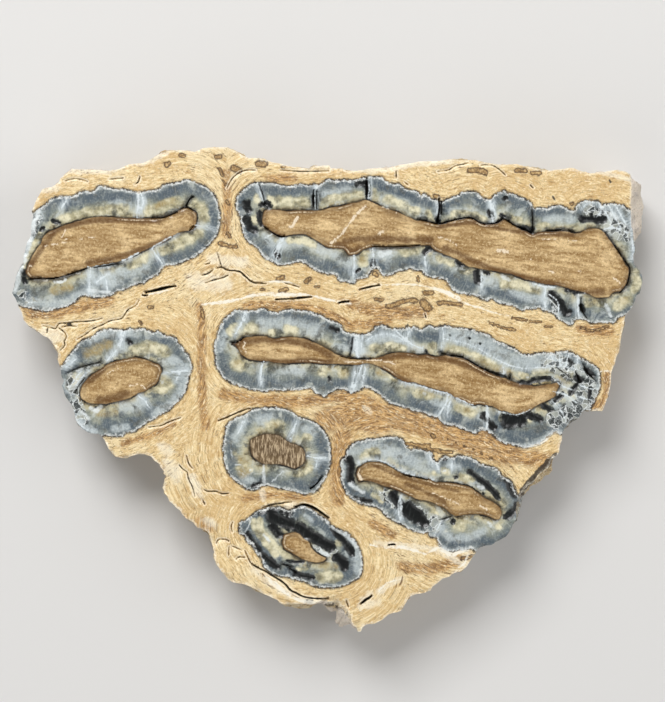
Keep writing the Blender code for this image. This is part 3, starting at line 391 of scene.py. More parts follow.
        (0.25, 26.3, 1.3, 28, 1.3), (0.5, 34.4, 1.9, 34.9, 1.6), (1.0, 24.8, -4.2, 26.5, -4.1),
        (0.25, -0.2, 2, 0, 1.6), (0.14, 19.4, 7.5, 19.45, 7.5), (0.12, 16.8, 7.8, 16.85, 7.8),
        (0.12, 21, 6.7, 21.05, 6.7), (0.3, -10.8, -13.2, -9.9, -12.9), (0.6, 2.5, -9.6, 2.9, -10.8, 2.7,
         -12.3), (0.25, 17.6, -12), (0.2, 21.4, -14.3), (0.5, 24.7, -17.6, 25.5, -16.8, 26.1, -16),
        (0.7, 10.8, -16, 12, -17, 13.2, -18.3), (0.35, 17.1, -18.3, 17.2, -18.2), (0.35, 3.6, -15, 5.5,
         -15.4), (0.9, -8.3, -17.4, -7, -18.1, -5.5, -18.6), (0.6, -8.2, -19, -7, -19.9), (0.8, -4.5, -18.9,
         -2.8, -20.2, -1, -21.3, 0, -21.7), (0.8, 1, -23.2, 1.7, -23.8, 1.9, -24.4), (0.2, -6, -23.7, -4.6,
         -23.9, -3.8, -23.8), (0.4, 27.4, -16.9, 26.9, -18), (0.4, 28.6, -13.8, 27.7, -15.2),
        (0.3, 35.6, 3.2, 36.8, 2.2), (0.4, 33.6, -0.2, 34.4, 0.8), (0.3, 32.6, -0.4, 31.2, -1.6),
        (0.25, 33.2, 4.6, 33.9, 3.9), (0.3, 36.4, 0.4, 36.2, -1)),
    "shatter": (
        (1.7, 31, 4.2, 33.5, 3, 35.5, 1.5, 35.8, -0.5, 34, -2.5, 31.5, -4), (1.2, 36.3, 25.1, 38.5, 24.4),
        (1.3, 39.5, 23.5, 41, 22), (0.9, -43.2, 13.5, -42, 12.5), (1.0, -36.3, 1.5, -35.5, -1.5, -34.8, -4.2),
        (1.4, 10.8, -16.4, 12.6, -17.6, 14.5, -18.5), (0.9, 7.5, -14.3, 8.8, -15.6), (0.9, 31.2, 13.4, 31.8,
         11.6), (0.8, -41, 24.4, -42.2, 21.4),
        (0.8, 27.3, -15.9, 26.5, -18.4), (1.1, -8, -18, -5.5, -18.2), (0.9, -2, -22, 0.4, -22.4)),
}

# The marks in the dentine and the cementum, in the same way. Both are softer than the enamel and
# took up brown stains, were bleached in patches, and the cementum keeps the canals of its vessels.
dentine_marks = {
    "white": (
        (0.28, -5.6, 23, -5, 23.7, -4.6, 24.3), (0.2, 0.1, 20.8, 1.4, 21.9, 2.5, 23.3, 3.5, 24.7, 4.9, 25.9),
        (0.1, 15, 21.7, 17, 21, 17.8, 20.3), (0.07, 7, 25.9, 9, 25.2, 11, 24.4), (0.25, 6.8, 22.1, 7.3, 22.5),
        (0.28, 23.4, 19.7, 24.8, 19.6), (0.14, 28, 18.5), (0.15, 30.6, 16.9, 31.4, 16.6), (0.12, 34.8, 16.9),
        (0.13, 39.6, 15.9, 40.6, 15.2), (0.12, -37.7, 21.6, -37.3, 22.2, -37.1, 22.8), (0.06, -37.6, 21.5,
         -36, 21.2, -34, 21.5, -33, 21.6), (0.06, -42.3, 17.5, -41.5, 17.7), (0.1, 14, -14.1, 16, -14.9, 18,
         -15.8), (0.1, 20.8, -15.9, 22, -16.6), (0.25, 3.9, -11.6, 4.3, -12.3), (0.05, -32, 2, -30.5, 2.9,
         -29, 3.5), (0.12, -28.3, 0.7, -27, 1, -26.2, 0.7, -25.8, 0.1), (0.14, -12, 6.9, -12.2, 6, -11.7,
         5.4), (0.1, 2, 4.15, 4, 4.2, 6.5, 4.35, 9, 3.9),
        (0.05, 27, 21.2, 31, 21.3, 35, 21), (0.06, -40, 20.4, -37, 20.9), (0.05, 13, -15, 16, -16)),
    "brown": (
        (0.5, -12, 6.9, -9, 7.2, -6, 7.1, -3, 6.4, 0, 5), (0.35, -11.5, 4.3, -6, 4.2, 0, 4.2),
        (0.45, 6.5, 4.7, 10, 5, 14, 4.9, 18, 4, 22, 2.4), (0.35, 6, 3.6, 9, 2.2, 13, 0.5, 17, -1),
        (0.3, 24, 1.5, 27, 0.7, 30, 0.7), (0.4, 16, 20.2, 19, 18.8, 22, 17.4, 27, 16, 32, 14.9),
        (0.4, -9, 22.4, -6, 21.4, -3, 20.6), (0.4, -42.5, 17, -40, 20.5, -38.5, 22.5), (0.35, 10.5, -12.9, 13,
         -13.9, 16, -15.4), (0.5, 2, 21, 5, 21.4, 9, 21.3, 14, 21.2), (0.5, 36, 13.9, 38, 14),
        (0.5, 1, 20.6, 3, 19.6, 4, 20.2), (0.6, -32.5, -1, -30.5, -0.9, -28.5, -0.3), (0.5, -33.8, 1.5, -32,
         3), (0.5, -13.3, 6.2, -12.6, 6.8), (0.2, 6, -10.3, 9, -11.6, 12, -12.6, 15, -13.3, 18, -14),
        (0.2, 5, -12.3, 8, -13, 10, -14), (0.7, -10, -7.5, -8, -8.5, -5.5, -9), (0.4, -38.5, 22.6, -35, 23.6,
         -31, 24, -27, 23.9, -24, 23.9),
        (0.4, -34, 18, -30, 18.8, -26, 20.1, -22, 21.6), (0.3, 15, 23, 20, 23.6, 26, 22.4, 34, 21.9)),
}
cementum_marks = {
    # Painted shade: these strokes darken the broken rim at the lower right, the pits at the bottom tip and a
    # few spots near the rim.
    "shade": ((0.45, 26.3, -15.6, 26.9, -14, 28.4, -12, 30.2, -10.2, 31.7, -8.8), (0.3, 42.8, 27.8, 43, 27.4),
              (0.3, 43.2, 22.8, 42.6, 22.3),
              (0.35, -1.2, -29.9, 0.2, -29.9), (0.3, 0.9, -30.4, 1.7, -30.9), (0.2, 2.3, -31.1, 2.1, -31.7),
              (0.25, -2.6, -29.4, -3.4, -29.3),
              (0.22, 31.1, 27.3, 31.3, 26.9), (0.2, 39, 29.6, 39.3, 29.3)),
    "stain": (
        (0.9, -15, -0.4, -10, -1.2, -4, -1.4, 2, -0.8, 6, -1.8), (0.7, -11, 12.1, -5, 12, 0, 10.8, 3, 9.4, 8,
         9.8),
        (0.5, -43, 12, -38, 11.6, -33, 12.4),(2.0, 3, -2.6, 10, -3.8, 17, -5.6, 25, -8.6), (1.3, 13, -1.6, 19,
         -3.4, 24, -6.4), (1.6, 1.6, -6.5, 1.2, -11),
        (2.1, -0.5, -4, 3, -3.3, 7, -4.3), (1.0, 9, -4.5, 13, -5.5, 18, -7.5, 23, -9, 28, -9.5),
        (0.9, 10, -24.5, 14, -24.8, 18, -23.6), (0.6, 38.5, -1.8, 38.7, 2.4), (0.7, 37, -2.1, 37.9, -1.6),
        (0.9, -42, 11, -38, 11.1, -34, 12.1, -31, 12.6), (0.55, -12, 12, -8, 12, -4, 11.9, 0, 10.8, 3, 9.4),
        (0.7, -18.3, 12, -18, 6, -18, 0, -17.5, -5), (0.7, -14.6, 30.5, -14.5, 26, -14.6, 22),
        (1.0, 3, 12.2, 8, 11, 13, 11.2), (0.8, 35, 8.6, 39, 8.5), (1.3, 26, -9, 30, -9.5), (0.6, -12, -15, -8,
         -14.5, -3, -15), (1.2, 1, -10, 1, -15), (0.9, -18.3, -18.3, -17, -19),
        (0.5, -29, -7.2, -26, -6.4, -22, -4.6), (0.8, 6, -18.5, 8.5, -20), (0.6, -8.5, 29.9, -5, 29.9)),
    "bleach": ((1.6, 43.6, 22.6, 43.7, 29.4), (1.3, 1.0, -32, 2.4, -33.6),
               (0.45, 6.2, -21.2, 9, -21.4, 12, -21.7, 15, -22.1),
        (0.7, 15, -22.1, 17, -21.9, 19, -22.2), (0.6, 19.3, -22.6, 18.7, -24), (0.6, -10.8, -25, -9, -26.4,
         -6.5, -28, -4, -29, -1, -29.4),
        (0.5, -1.4, -30.6, 0.4, -31.2), (0.6, 4.6, -28.9, 5.6, -28.3), (0.5, -6.2, -16.1, -5, -15.8),
        (1.2, -22.6, -10.2, -21.6, -11.4), (0.8, -17.3, -18, -16.5, -18.5), (0.6, -9.5, -14, -9.5, -15),
        (1.1, -40, 8.2, -38.4, 7.8), (0.5, 4.8, -2.4, 5.6, -2.9), (0.9, -23.6, -7.6, -22.6, -8.4),
        (0.5, 4, 31, 8, 31, 12, 31.9, 17, 32.1), (0.4, -1.8, 31.5, -0.4, 31.5), (0.5, 6.7, -28, 9.7, -26.3),
        (0.7, 4.4, -30.2, 6.6, -29.4), (1.6, -19, 15.5, -15, 15.2), (1.0, -16.5, 18.6, -12, 18),
        (0.6, -40.2, 28.2, -38.5, 28.4), (0.5, -36.3, 30.9, -31, 30.8), (0.4, -26.2, 31.9, -22.8, 33.3),
        (0.4, 43.6, 29.3, 38, 30.7), (0.8, -19.5, -12, -18.5, -14.2), (0.5, 15.6, -22.6, 19, -24.4)),
    "canal": (
        (0.5, -13.5, 31.2, -12.8, 30.9), (0.45, -10.2, 31.9, -9.2, 31.9), (0.25, -6.7, 31.4, -6.5, 31.5),
        (0.3, -16, 32.8, -15.4, 32.9), (0.3, -21, 33.1, -20.6, 33), (0.35, -23, 31.7, -22.7, 31.9),
        (0.35, -7.3, 15.8, -6.6, 16), (0.35, -3.4, 15.4, -3, 15.7), (0.2, -2.1, 14.7, -1.6, 14.7),
        (0.18, -9.7, 14.3, -9.2, 14.3), (0.3, -7, 14.1, -6.1, 14.3), (0.4, 19.4, 31, 20.8, 31, 21.6, 30.6),
        (0.4, 14.7, 27.3, 15, 27.2), (0.3, 26, 31, 27.2, 30.9), (0.3, 28.3, 30.6, 29.3, 30.6),
        (0.25, 33.7, 26.3, 33.9, 26.3), (0.35, 8, 11.9, 9.2, 12.2, 10.6, 12.7, 12, 12.7), (0.6, 13, 12.5,
         13.6, 11.8), (0.3, 13.2, 13.8, 14.2, 13.8), (0.28, 15, 12.4, 16.5, 12.4, 18.3, 12.1),
        (0.25, 6.3, 12.9, 7.3, 12.8), (0.3, 6.1, 16.6, 6.5, 16.3), (0.2, 12.2, 16, 12.3, 15.4),
        (0.2, 22.3, 9.6, 24, 9, 25.8, 8.6), (0.2, 25.5, 10.3, 27.4, 10), (0.18, 28, 9.8, 29.4, 9.7),
        (0.16, 30, 9.2, 31, 9), (0.16, 35, 9, 36.8, 8.5, 39, 9.2), (0.3, 14.3, -6.2, 14.5, -6.3),
        (0.3, 13.3, -7.5, 13.8, -7.6), (0.2, -18.1, 11.8, -17.8, 10.2), (0.2, -15.6, 31.2, -15.1, 30.2),
        (0.18, -15, 29.6, -14.6, 28.9), (0.2, -14.6, 26.8, -14.3, 26.2), (0.25, -14.4, 22.2, -14.1, 21.6),
        (0.3, -15.4, 20.8, -14.4, 20.4, -13.2, 20.3), (0.25, 10.3, -7.3, 12.4, -7.6, 15.4, -8.4, 17, -8.5),
        (0.25, 19.8, -23.1, 18.4, -23.4), (0.25, -25.4, 11.8, -24.9, 11.8), (0.2, -26.7, 9.8, -26.4, 9.4),
        (0.14, 16.3, -6.6), (0.14, 17.5, -7.1), (0.14, 18.7, -7.6),
        (0.14, 19.9, -8.2), (0.14, 21.1, -8.7), (0.14, 22.4, -9.3)),
}

# Lines. Dark ones are open cracks and joints, pale ones are healed cracks and frosted joints.
dark_lines = (
    (0.22, -25.9, 13.9, -24.8, 14.1, -23.8, 14.35, -22.8, 14.6, -21.7, 14.8), (0.12, -26.3, 13.45, -25.6,
     13.5), (0.1, -7.7, 12.9, -6.4, 12.95, -5, 13), (0.16, -5.4, 13, -4, 13.15, -2.7, 13.25),
    (0.17, 1.2, 12.45, 1.9, 12.55, 2.5, 12.6), (0.13, 4.1, 14.3, 5.5, 14.65, 6.9, 14.9), (0.2, -4.9, -16.2,
     -3.9, -15.85, -2.9, -16.05, -1.9, -16.55, -1.1, -17.1, -0.3, -17.7), (0.07, -9.5, -16.25, -8.7, -16, -8,
     -15.8, -7, -15.7, -6.4, -15.55, -5.4, -15.5),
    (0.13, -11, -24.2, -10.2, -24.67, -9, -25.25, -8.2, -25.75, -7.3, -26.3, -6.3, -27, -5.67, -27.75,
     -4.67, -28.3, -3.67, -28.75, -2, -29, -0.3, -29), (0.2, 4.3, -29.7, 4.9, -29.2, 5.7, -28.7),
    (0.05, -15.8, 19.3, -15.5, 18.2, -15.2, 17.4), (0.1, -15.9, 17.3, -15.2, 17.4, -14.4, 17, -12.8, 16.8,
     -11.9, 16.1, -10.9, 15.3, -9.6, 15.2), (0.07, -18, 16.3, -17.2, 16.5, -16.5, 17),
    (0.06, -17.5, 15.2, -16.4, 15.6, -15.2, 15.9, -14.3, 16.3), (0.06, -17.5, 17.8, -16.9, 18),
    (0.05, -6.4, 15.2, -5, 14.8, -4.4, 14.6), (0.05, -10, 15.15, -9, 15.1), (0.05, -40.25, 9.2, -39.3, 9,
     -38.5, 8.8, -38, 9.5, -36.7, 9.6, -35.7, 9.75, -34.3, 9.8, -32.8, 10, -32, 10.25), (0.05, -38, 8.8,
     -37.3, 8.3, -37, 7.7, -37.3, 7, -37.2, 6.5, -37.8, 5.8), (0.05, -39.6, 9, -39.7, 8.2),
    (0.05, -35.5, 7.3, -34.3, 8, -33.2, 8.8, -31.8, 9.4, -30.8, 9.9, -29.3, 10.2, -28.8, 10.8, -28.3, 11.5,
     -27.3, 12, -26.8, 12.8), (0.045, -37.6, 9, -36.6, 9.2, -35.6, 9.1),
    (0.05, -25.5, -5, -23.8, -4.8, -22.7, -4.3, -21, -3.67), (0.05, -21.2, -10.3, -20.67, -10.9, -20.1, -11.3,
     -19.9, -12.2, -19.5, -13, -19.25, -13.67, -19, -14.67), (0.05, -20.2, -9, -19.8, -10.2, -19.3, -10.8),
    (0.06, -17.67, -13.8, -17.2, -14, -16, -14, -15.3, -14.3, -14.3, -14.3), (0.05, -17.9, -15.2, -17.6,
     -15.8), (0.05, -16, -21.3, -15.7, -20.75, -14.6, -20.75, -14.25, -21), (0.05, -14.25, -21.8, -14.25,
     -23), (0.05, -13.75, -21.67, -12.5, -22.2), (0.05, -13.25, -23.5, -12.8, -23.2, -12, -23.25),
    (0.05, -13.75, -19.67, -13.9, -18.8, -13.7, -18.3), (0.05, -12, -22.3, -11.67, -23, -11.2, -24),
    (0.06, 2.2, -29.2, 2.5, -30.2), (0.14, 8.2, -21.5, 8.6, -21.4, 9, -21.4), (0.04, -14.5, 28.5, -13.6, 30,
     -12.2, 30.9, -10.5, 31), (0.04, -7, 31, -3.5, 30.8, -0.2, 30.9), (0.04, 15, 30.8, 16.5, 31, 17.5, 31.6,
     18.5, 31.8, 19.3, 32), (0.04, 21, 31.7, 22.5, 31.7, 23.5, 31.2, 24.5, 30.3), (0.05, 9.2, 30.8, 9.2,
     29.9), (0.05, 10.4, 29.3, 10.9, 28.9), (0.05, 28, 28.9, 28.4, 28.5), (0.09, -15.7, -4.1, -14, -3.4,
     -12.4, -2.7, -11.3, -2.35), (0.05, 13.2, 10.9, 13.4, 10.3), (0.05, -26.7, 30.1, -26.9, 29.4, -27.4, 29),
    (0.04, -37.2, 29.5, -35.6, 29.8, -34, 29.4), (0.04, -31, 29.7, -29, 29.9), (0.11, -19.3, 27.3, -19.8,
     26.8, -20.2, 26), (0.08, -19.2, 23.2, -19.7, 22.5), (0.09, -42.1, 15.75, -40, 15.85, -38, 15.95, -36.3,
     16.5, -34.3, 17.2), (0.07, -33, 17.4, -31, 17.7, -29.2, 17.9), (0.07, -25, 24.3, -23.5, 24.35, -22, 24.9,
     -20.3, 25.75, -19.2, 25.3), (0.06, -10, 29.1, -9.5, 27.6, -9.2, 26.3), (0.09, -2.35, 28.2, -2.4, 27,
     -2.4, 25.6), (0.08, -1.9, 28.1, -1.95, 27, -1.9, 25.6), (0.07, 5.1, 29.9, 5.05, 28.4, 5.1, 26.9),
    (0.14, 15.2, 27, 15.25, 25.8, 15.1, 24.6, 15, 23.7), (0.07, 15.5, 26.6, 15.6, 24.8),
    (0.09, 12.3, 24.05, 13.5, 23.85, 15.2, 23.5, 17, 23.95, 19.5, 24.35, 21, 23.6, 22.5, 23.5, 23.3, 23.65,
     24.3, 24.15,
     25.9, 23.2, 27.2, 22.6, 28.2, 22.2), (0.07, 28.2, 25.9, 28.3, 24.2, 28.3, 22.3),
    (0.07, 35.1, 13.1, 35.2, 11.5, 36, 10.1), (0.07, 30.3, 22.5, 32, 22.6, 34, 22.4), (0.08, 6, 20.3, 8,
     20.25, 10, 20.3, 12.5, 20.5), (0.08, 38.5, 22.2, 39.8, 20.4, 41, 18.6, 41.9, 17.2, 41.6, 15.2, 40.6,
     13.9), (0.09, -9.2, 23, -8.3, 22.3, -7.3, 21.8, -6.5, 21.7), (0.05, -36.9, 2.6, -35, 3.4, -33.5, 3.8,
     -32.2, 4.1), (0.05, -35.8, -0.2, -35.2, 0.9, -34.4, 1.9), (0.08, 3.05, 7.4, 3.0, 6.3, 2.75, 5.1),
    (0.08, -13.9, 6.9, -13.1, 6.9, -12.2, 7.5), (0.09, 15.6, 5.3, 17, 5, 18.5, 4.75, 20.3, 3.8, 22, 2.9, 24.5,
     2.1), (0.08, 25.2, 2.2, 25.1, 1.7), (0.06, 34.3, 2.8, 35, 1.2), (0.06, 35.4, 3.8, 36, 2.6, 37.2, 1.4),
    (0.05, 31.6, 3.4, 33.4, 2.1), (0.06, 5.7, 4.6, 3, 4.6, 1.5, 4.9), (0.1, -1.2, -12, -2, -13, -2.8, -13.6),
    (0.08, 10.2, -11.7, 13.5, -12.3), (0.07, -6.8, -24.2, -5.4, -24.6), (0.07, -5.9, -24.7, -4.9, -25.3),
    (0.05, 15.2, -18, 17, -17.5),
)
pale_lines = (
    (0.22, -18, 12.2, -15, 12.5, -12.5, 13), (0.26, -12.5, 13, -10, 13.6, -6.5, 13.6, -3, 13.5),
    (0.16, -3, 13.5, 0, 12.8, 3, 12.3), (0.12, 7, 14.9, 10.3, 15, 13, 14.8, 15, 14.2, 17, 13.3, 19, 12.3, 21,
     11.7, 23, 11, 25, 10.6), (0.1, 14.6, 14.6, 17, 13.7, 18.4, 12.9), (0.22, 5.67, -21.5, 6.8, -21.67, 8,
     -21.8, 10, -21.8, 11.67, -22.2, 13.3, -22.75), (0.26, 13.3, -22.75, 15, -22, 15.8, -22.3, 17, -22.9, 18,
     -22.5, 19.2, -22.3, 19.7, -22.3), (0.14, 19.4, -22.4, 19.1, -23.3, 18.6, -24.2, 17.6, -24.9),
    (0.3, -9.3, -25.8, -7.5, -27.2, -5.3, -28.9), (0.25, -5.3, -28.9, -3, -29.5, -1.3, -29.5),
    (0.12, 37.8, 2.8, 39, 2.9), (0.12, 27, -7.9, 29.5, -7.25, 31, -6, 31.9, -5.7), (0.14, -8.9, 15.4, -7,
     15.4, -5.4, 15.2), (0.1, 6.7, -28, 8, -26.8, 9.7, -26.3), (0.12, -25.9, 13.55, -24, 13.9, -22.6, 14.2),
    (0.13, -27, 28, -26.9, 26.5, -27.1, 24.4), (0.08, -26.7, 28, -26.2, 26.6, -26.7, 25), (0.13, -33.6, 17.3,
     -33.7, 15.5, -33.8, 13.6), (0.1, -32.9, 15.2, -31.8, 16, -31, 16.4), (0.09, -31.4, 15.6, -31.2, 14.2),
    (0.1, -25, 20, -24.3, 19, -23.5, 17.9), (0.06, -19.2, 23.3, -17.6, 23.1, -16.3, 22.6), (0.08, -36.9, 26.9,
     -37.7, 25.6), (0.06, -34, 17.45, -32, 17.6, -30.5, 18), (0.11, -29.3, 18.3, -28, 18.8, -26.8, 19.5),
    (0.07, -25, 20.15, -23, 21.3, -21.6, 22), (0.08, -10.2, 28.9, -9.7, 27.6, -9.3, 26.4), (0.1, -1.9, 28.9,
     -2.1, 28.2), (0.07, -2.15, 28, -2.15, 26.6, -2.1, 25.6), (0.12, -6.6, 21.5, -7.1, 20.2, -7.6, 18.5),
    (0.06, -7, 21.3, -7.4, 20.3, -8, 19), (0.09, 3.3, 19.1, 3.3, 17.8, 3.2, 16.5), (0.07, 5.4, 29.6, 5.4,
     28.4, 5.3, 27), (0.06, 15, 26.8, 14.9, 25), (0.13, 22.35, 26.8, 22.5, 25.2, 22.7, 23.7),
    (0.07, 22.8, 26.4, 23, 24.4), (0.13, 30.1, 14.8, 30, 13, 30.1, 11.4), (0.14, 34.7, 13.6, 34.6, 12, 34.8,
     10.4), (0.1, 28.2, 15.2, 29.5, 14.8, 31.4, 14.6), (0.08, 30.6, 13.6, 31.8, 12.6, 31.9, 11),
    (0.12, 21.2, 16.6, 21.15, 15.2, 21.3, 14), (0.09, 13.2, 18.9, 13.3, 17.8, 13.4, 16.9), (0.12, 5.9, 20, 6,
     18.6, 6, 17.4), (0.06, 2.9, 16.9, 3.4, 16.1), (0.12, 38, 26, 39, 24.2, 39.6, 22.9), (0.1, 38.9, 26.1,
     39.9, 24.2, 40.7, 22.8), (0.1, 39.8, 26.2, 40.8, 24.4, 41.5, 23.2), (0.1, 42, 25, 42.1, 22.4, 42.4, 20,
     42.3, 18.6), (0.09, 38.3, 22.7, 39.8, 22.9, 41.6, 22.2), (0.1, 37.6, 26.4, 37.9, 25.2, 37.2, 24.4),
    (0.07, 35.3, 25.7, 36, 26.3, 37, 26.4), (0.13, -29.3, 8.6, -29.4, 7.5, -29.8, 6.2, -30.5, 5, -31.3, 4.3),
    (0.08, -28.8, 8.4, -29.2, 7.2, -29.5, 6.2), (0.13, -20, 2.9, -21.5, 2.8, -23.2, 2.6), (0.06, -26.8, -0.7,
     -26, -1.3, -25.4, -2.2), (0.06, -36.2, -0.2, -35.5, 1, -34.6, 2.2, -33.8, 2.9), (0.06, -37.1, 3.3, -35.6,
     4.6), (0.1, -36, -2.3, -35.5, -4, -34.5, -5.1, -33.3, -5.7), (0.07, -21.1, 2.5, -21.7, 1.4),
    (0.09, -30.5, 5.4, -31.2, 4.5), (0.05, -36.7, 0.2, -35.9, 1.6, -34.9, 2.8), (0.12, -12, 11.1, -12.2, 10.2,
     -12.6, 9.3, -13.3, 8.1), (0.06, -11.8, 10.8, -12, 9.9), (0.1, -9.3, 4.2, -9.7, 3.2, -9.75, 0.9),
    (0.16, 3.9, 7.9, 3.7, 6.8, 3.7, 5.5, 3.9, 4.7), (0.1, 3.4, 7.8, 3.3, 6.8, 3.2, 5.6), (0.08, 4.5, 7.7, 4.3,
     6.5, 4.4, 5.4), (0.13, 4.3, 3.6, 4, 2.4, 3.6, 1.4, 3.2, 0.1), (0.09, 3.6, 3.4, 3.3, 2, 2.9, 0.6),
    (0.08, 4.9, 3.5, 4.6, 2, 4.4, 0.9), (0.08, 4.9, 7, 6.5, 7.9, 8.5, 8, 10, 7.3, 12, 6.3, 12.9, 6.1),
    (0.09, 9.2, 8.5, 10.3, 7.5, 11.3, 6.8), (0.08, 11.1, 8.6, 10.7, 7.6), (0.07, 16.3, 7.3, 18.7, 6.8, 20,
     6.3, 21.2, 5.8, 22, 5.2, 23.67, 4.3, 25.3, 3.6, 27, 3.25, 28, 3.3, 30, 3.4, 32, 3.5, 34.5, 3.2),
    (0.1, 24.2, 3.3, 24.2, 2.4), (0.1, 16.4, -0.6, 16.2, -1.6, 15.7, -2.4, 15.1, -3.3), (0.08, 17, -1, 16.5,
     -2.2, 16.4, -3.6), (0.2, 21.9, -2, 21.95, -3.5, 21.9, -5.2), (0.07, 10, 1.35, 12.5, 0.8, 15, 0.05, 16.5,
     -0.3, 18, -1.1, 20, -1.95), (0.07, 23.5, -2.75, 26, -3.25, 28, -2.55), (0.07, 15.7, 8.9, 15.8, 7.4, 15.6,
     6.2), (0.08, 31, 2, 32.4, 0.8, 34, 0.2), (0.08, 31.2, 0, 32.8, -0.4, 34.5, -1.6), (0.08, 31, -1.3, 32.2,
     -2.6, 33, -4.2), (0.07, 33.4, 5.3, 33, 4, 33.2, 3.3), (0.07, 30.9, 5.1, 31.2, 3.6), (0.07, 32, 5.2, 32.2,
     3.7), (0.07, 34.6, 4.8, 34.4, 3.4), (0.08, 35, 0.8, 36.4, 0.4, 37.4, 0.4), (0.08, 34.4, -0.6, 35.6, -1,
     36.6, -1.2), (0.15, -4.75, -4.2, -5.2, -5.4, -5.65, -6.6), (0.12, -3.2, -9, -1.8, -9.3, -0.4, -9.3),
    (0.07, -11.9, -4, -12.6, -5.2), (0.09, -1.9, -9.4, -2, -10.6), (0.32, 9.8, -14.8, 9.7, -16, 9.8, -17.9),
    (0.07, 14.6, -20, 15.1, -19, 15.5, -18.3), (0.06, 4, -9.95, 5.5, -9.55, 7.5, -9.85, 9.5, -10.95, 12,
     -11.85, 14.5, -12.35), (0.1, 14.8, -10.1, 15.1, -10.9), (0.1, 16.9, -9.8, 17, -11), (0.08, 13.8, -8.9,
     14.3, -10), (0.1, 29.6, -12.3, 28.4, -13.7, 27.6, -15.2, 27, -17), (0.08, 26.7, -15.4, 26.3, -17.2),
)

# The body of the slice. One piece: the polished face carries a fine mesh with the plates, joints
# and cracks drawn as real edges, sunk or raised a little, and the broken wall and sawn back close it.
HALF_LENGTH = 45.0
FACE_PITCH = 0.272
LINE_PITCH = 0.26
EDGE_PITCH = 0.37
WALL_PITCH = 0.4
BACK_PITCH = 1.05
BREAK_GRAIN = 3.1
RIM_CLEARANCE = 0.16
LINE_CLEARANCE = 0.085
SCATTER_CLEARANCE = 0.155
SCATTER_SHAKE = 0.03
OPEN_CRACK = 0.085
SPOT_LENGTH = 0.1


def stations(line, pitch, closed):
    """Points along straight stretches, about a pitch apart, with every corner kept."""
    ends = np.roll(line, -1, axis=0) if closed else line[1:]
    spots = []
    for start, end in zip(line, ends):
        steps = max(1, round(float(np.hypot(*(end - start))) / pitch))
        spots.extend(start + (end - start) * step / steps for step in range(steps))
    if not closed:
        spots.append(line[-1])
    return np.array(spots)


def curved(line, pitch, closed):
    """Points along a smooth curve through every point given."""
    count = len(line)
    spots = []
    for index in range(count if closed else count - 1):
        numbers = range(index - 1, index + 3)
        numbers = [number % count if closed else min(max(number, 0), count - 1) for number in numbers]
        before, start, end, after = (line[number] for number in numbers)
        steps = max(1, round(float(np.hypot(*(end - start))) / pitch))
        for step in range(steps):
            t = step / steps
            spots.append(0.5 * (2 * start + (end - before) * t
                                + (2 * before - 5 * start + 4 * end - after) * t * t
                                + (3 * start - before - 3 * end + after) * t ** 3))
    if not closed:
        spots.append(line[-1])
    return np.array(spots)


def gap_to(points, line, closed):
    """Least distance from every point to a line, and how far along the line that is."""
    best = np.full(len(points), 1e6)
    along = np.zeros(len(points))
    travelled = 0.0
    ends = np.roll(line, -1, axis=0) if closed else line[1:]
    for start, end in zip(line, ends):
        step = end - start
        length = float(np.hypot(*step))
        if length < 1e-7:
            continue
        off_x = points[:, 0] - start[0]
        off_y = points[:, 1] - start[1]
        share = np.clip((off_x * step[0] + off_y * step[1]) / length ** 2, 0.0, 1.0)
        gap = np.hypot(off_x - share * step[0], off_y - share * step[1])
        nearer = gap < best
        best[nearer] = gap[nearer]
        along[nearer] = travelled + share[nearer] * length
        travelled += length
    return best, along


def is_inside(points, loop):
    """Which points a closed loop goes round, counted by the crossings to one side."""
    crossings = np.zeros(len(points), dtype=int)
    for start, end in zip(loop, np.roll(loop, -1, axis=0)):
        spans = (start[1] > points[:, 1]) != (end[1] > points[:, 1])
        rise = end[1] - start[1]
        if abs(rise) < 1e-9:
            continue
        reach = start[0] + (points[:, 1] - start[1]) * (end[0] - start[0]) / rise
        crossings += spans & (points[:, 0] < reach)
    return crossings % 2 == 1


def nearest_among(spots):
    """A finder of the nearest of these spots."""
    finder = KDTree(len(spots))
    for index, spot in enumerate(spots):
        finder.insert((spot[0], spot[1], 0.0), index)
    finder.balance()
    return finder


def thinned(points, kept, least):
    """Which points lie farther than the least distance from those already kept."""
    finder = nearest_among(kept)
    return np.array([finder.find((x, y, 0.0))[2] > least for x, y in points])


def lips(line, half_width):
    """The two edges of an open crack, widest in the middle and closing at both ends."""
    inner = line[1:-1]
    along = line[2:] - line[:-2]
    across = np.stack([-along[:, 1], along[:, 0]], axis=1) / np.hypot(*along.T)[:, None]
    open_share = np.sin(np.linspace(0, math.pi, len(line)))[1:-1, None] ** 0.4
    return [np.concatenate([line[:1], inner + across * half_width * open_share * side, line[-1:]])
            for side in (1, -1)]


rim_stations = stations(rim, EDGE_PITCH, True)
rim_run = np.concatenate([[0], np.cumsum(np.hypot(*np.diff(rim_stations, axis=0).T))])
back_runs, back_x, back_y = [], [], []
for x, y, pull_x, pull_y in set_backs:
    nearest = int(np.argmin(np.hypot(rim_stations[:, 0] - x, rim_stations[:, 1] - y)))
    back_runs.append(rim_run[nearest])
    back_x.append(pull_x)
    back_y.append(pull_y)
set_back = np.stack([np.interp(rim_run, back_runs, back_x), np.interp(rim_run, back_runs, back_y)], axis=1)
edge = rim_stations + set_back
rim_along = np.roll(rim_stations, -3, axis=0) - np.roll(rim_stations, 3, axis=0)
rim_outward = np.stack([-rim_along[:, 1], rim_along[:, 0]], axis=1) / np.hypot(*rim_along.T)[:, None]

bands = [curved(band, LINE_PITCH, True) for band, _ in plates]
cores = [curved(core, LINE_PITCH, True) for _, core in plates]
dark_curves = [(mark[0], curved(outline(*mark[1:]), LINE_PITCH, False)) for mark in dark_lines]
pale_curves = [(mark[0], curved(outline(*mark[1:]), LINE_PITCH, False)) for mark in pale_lines]


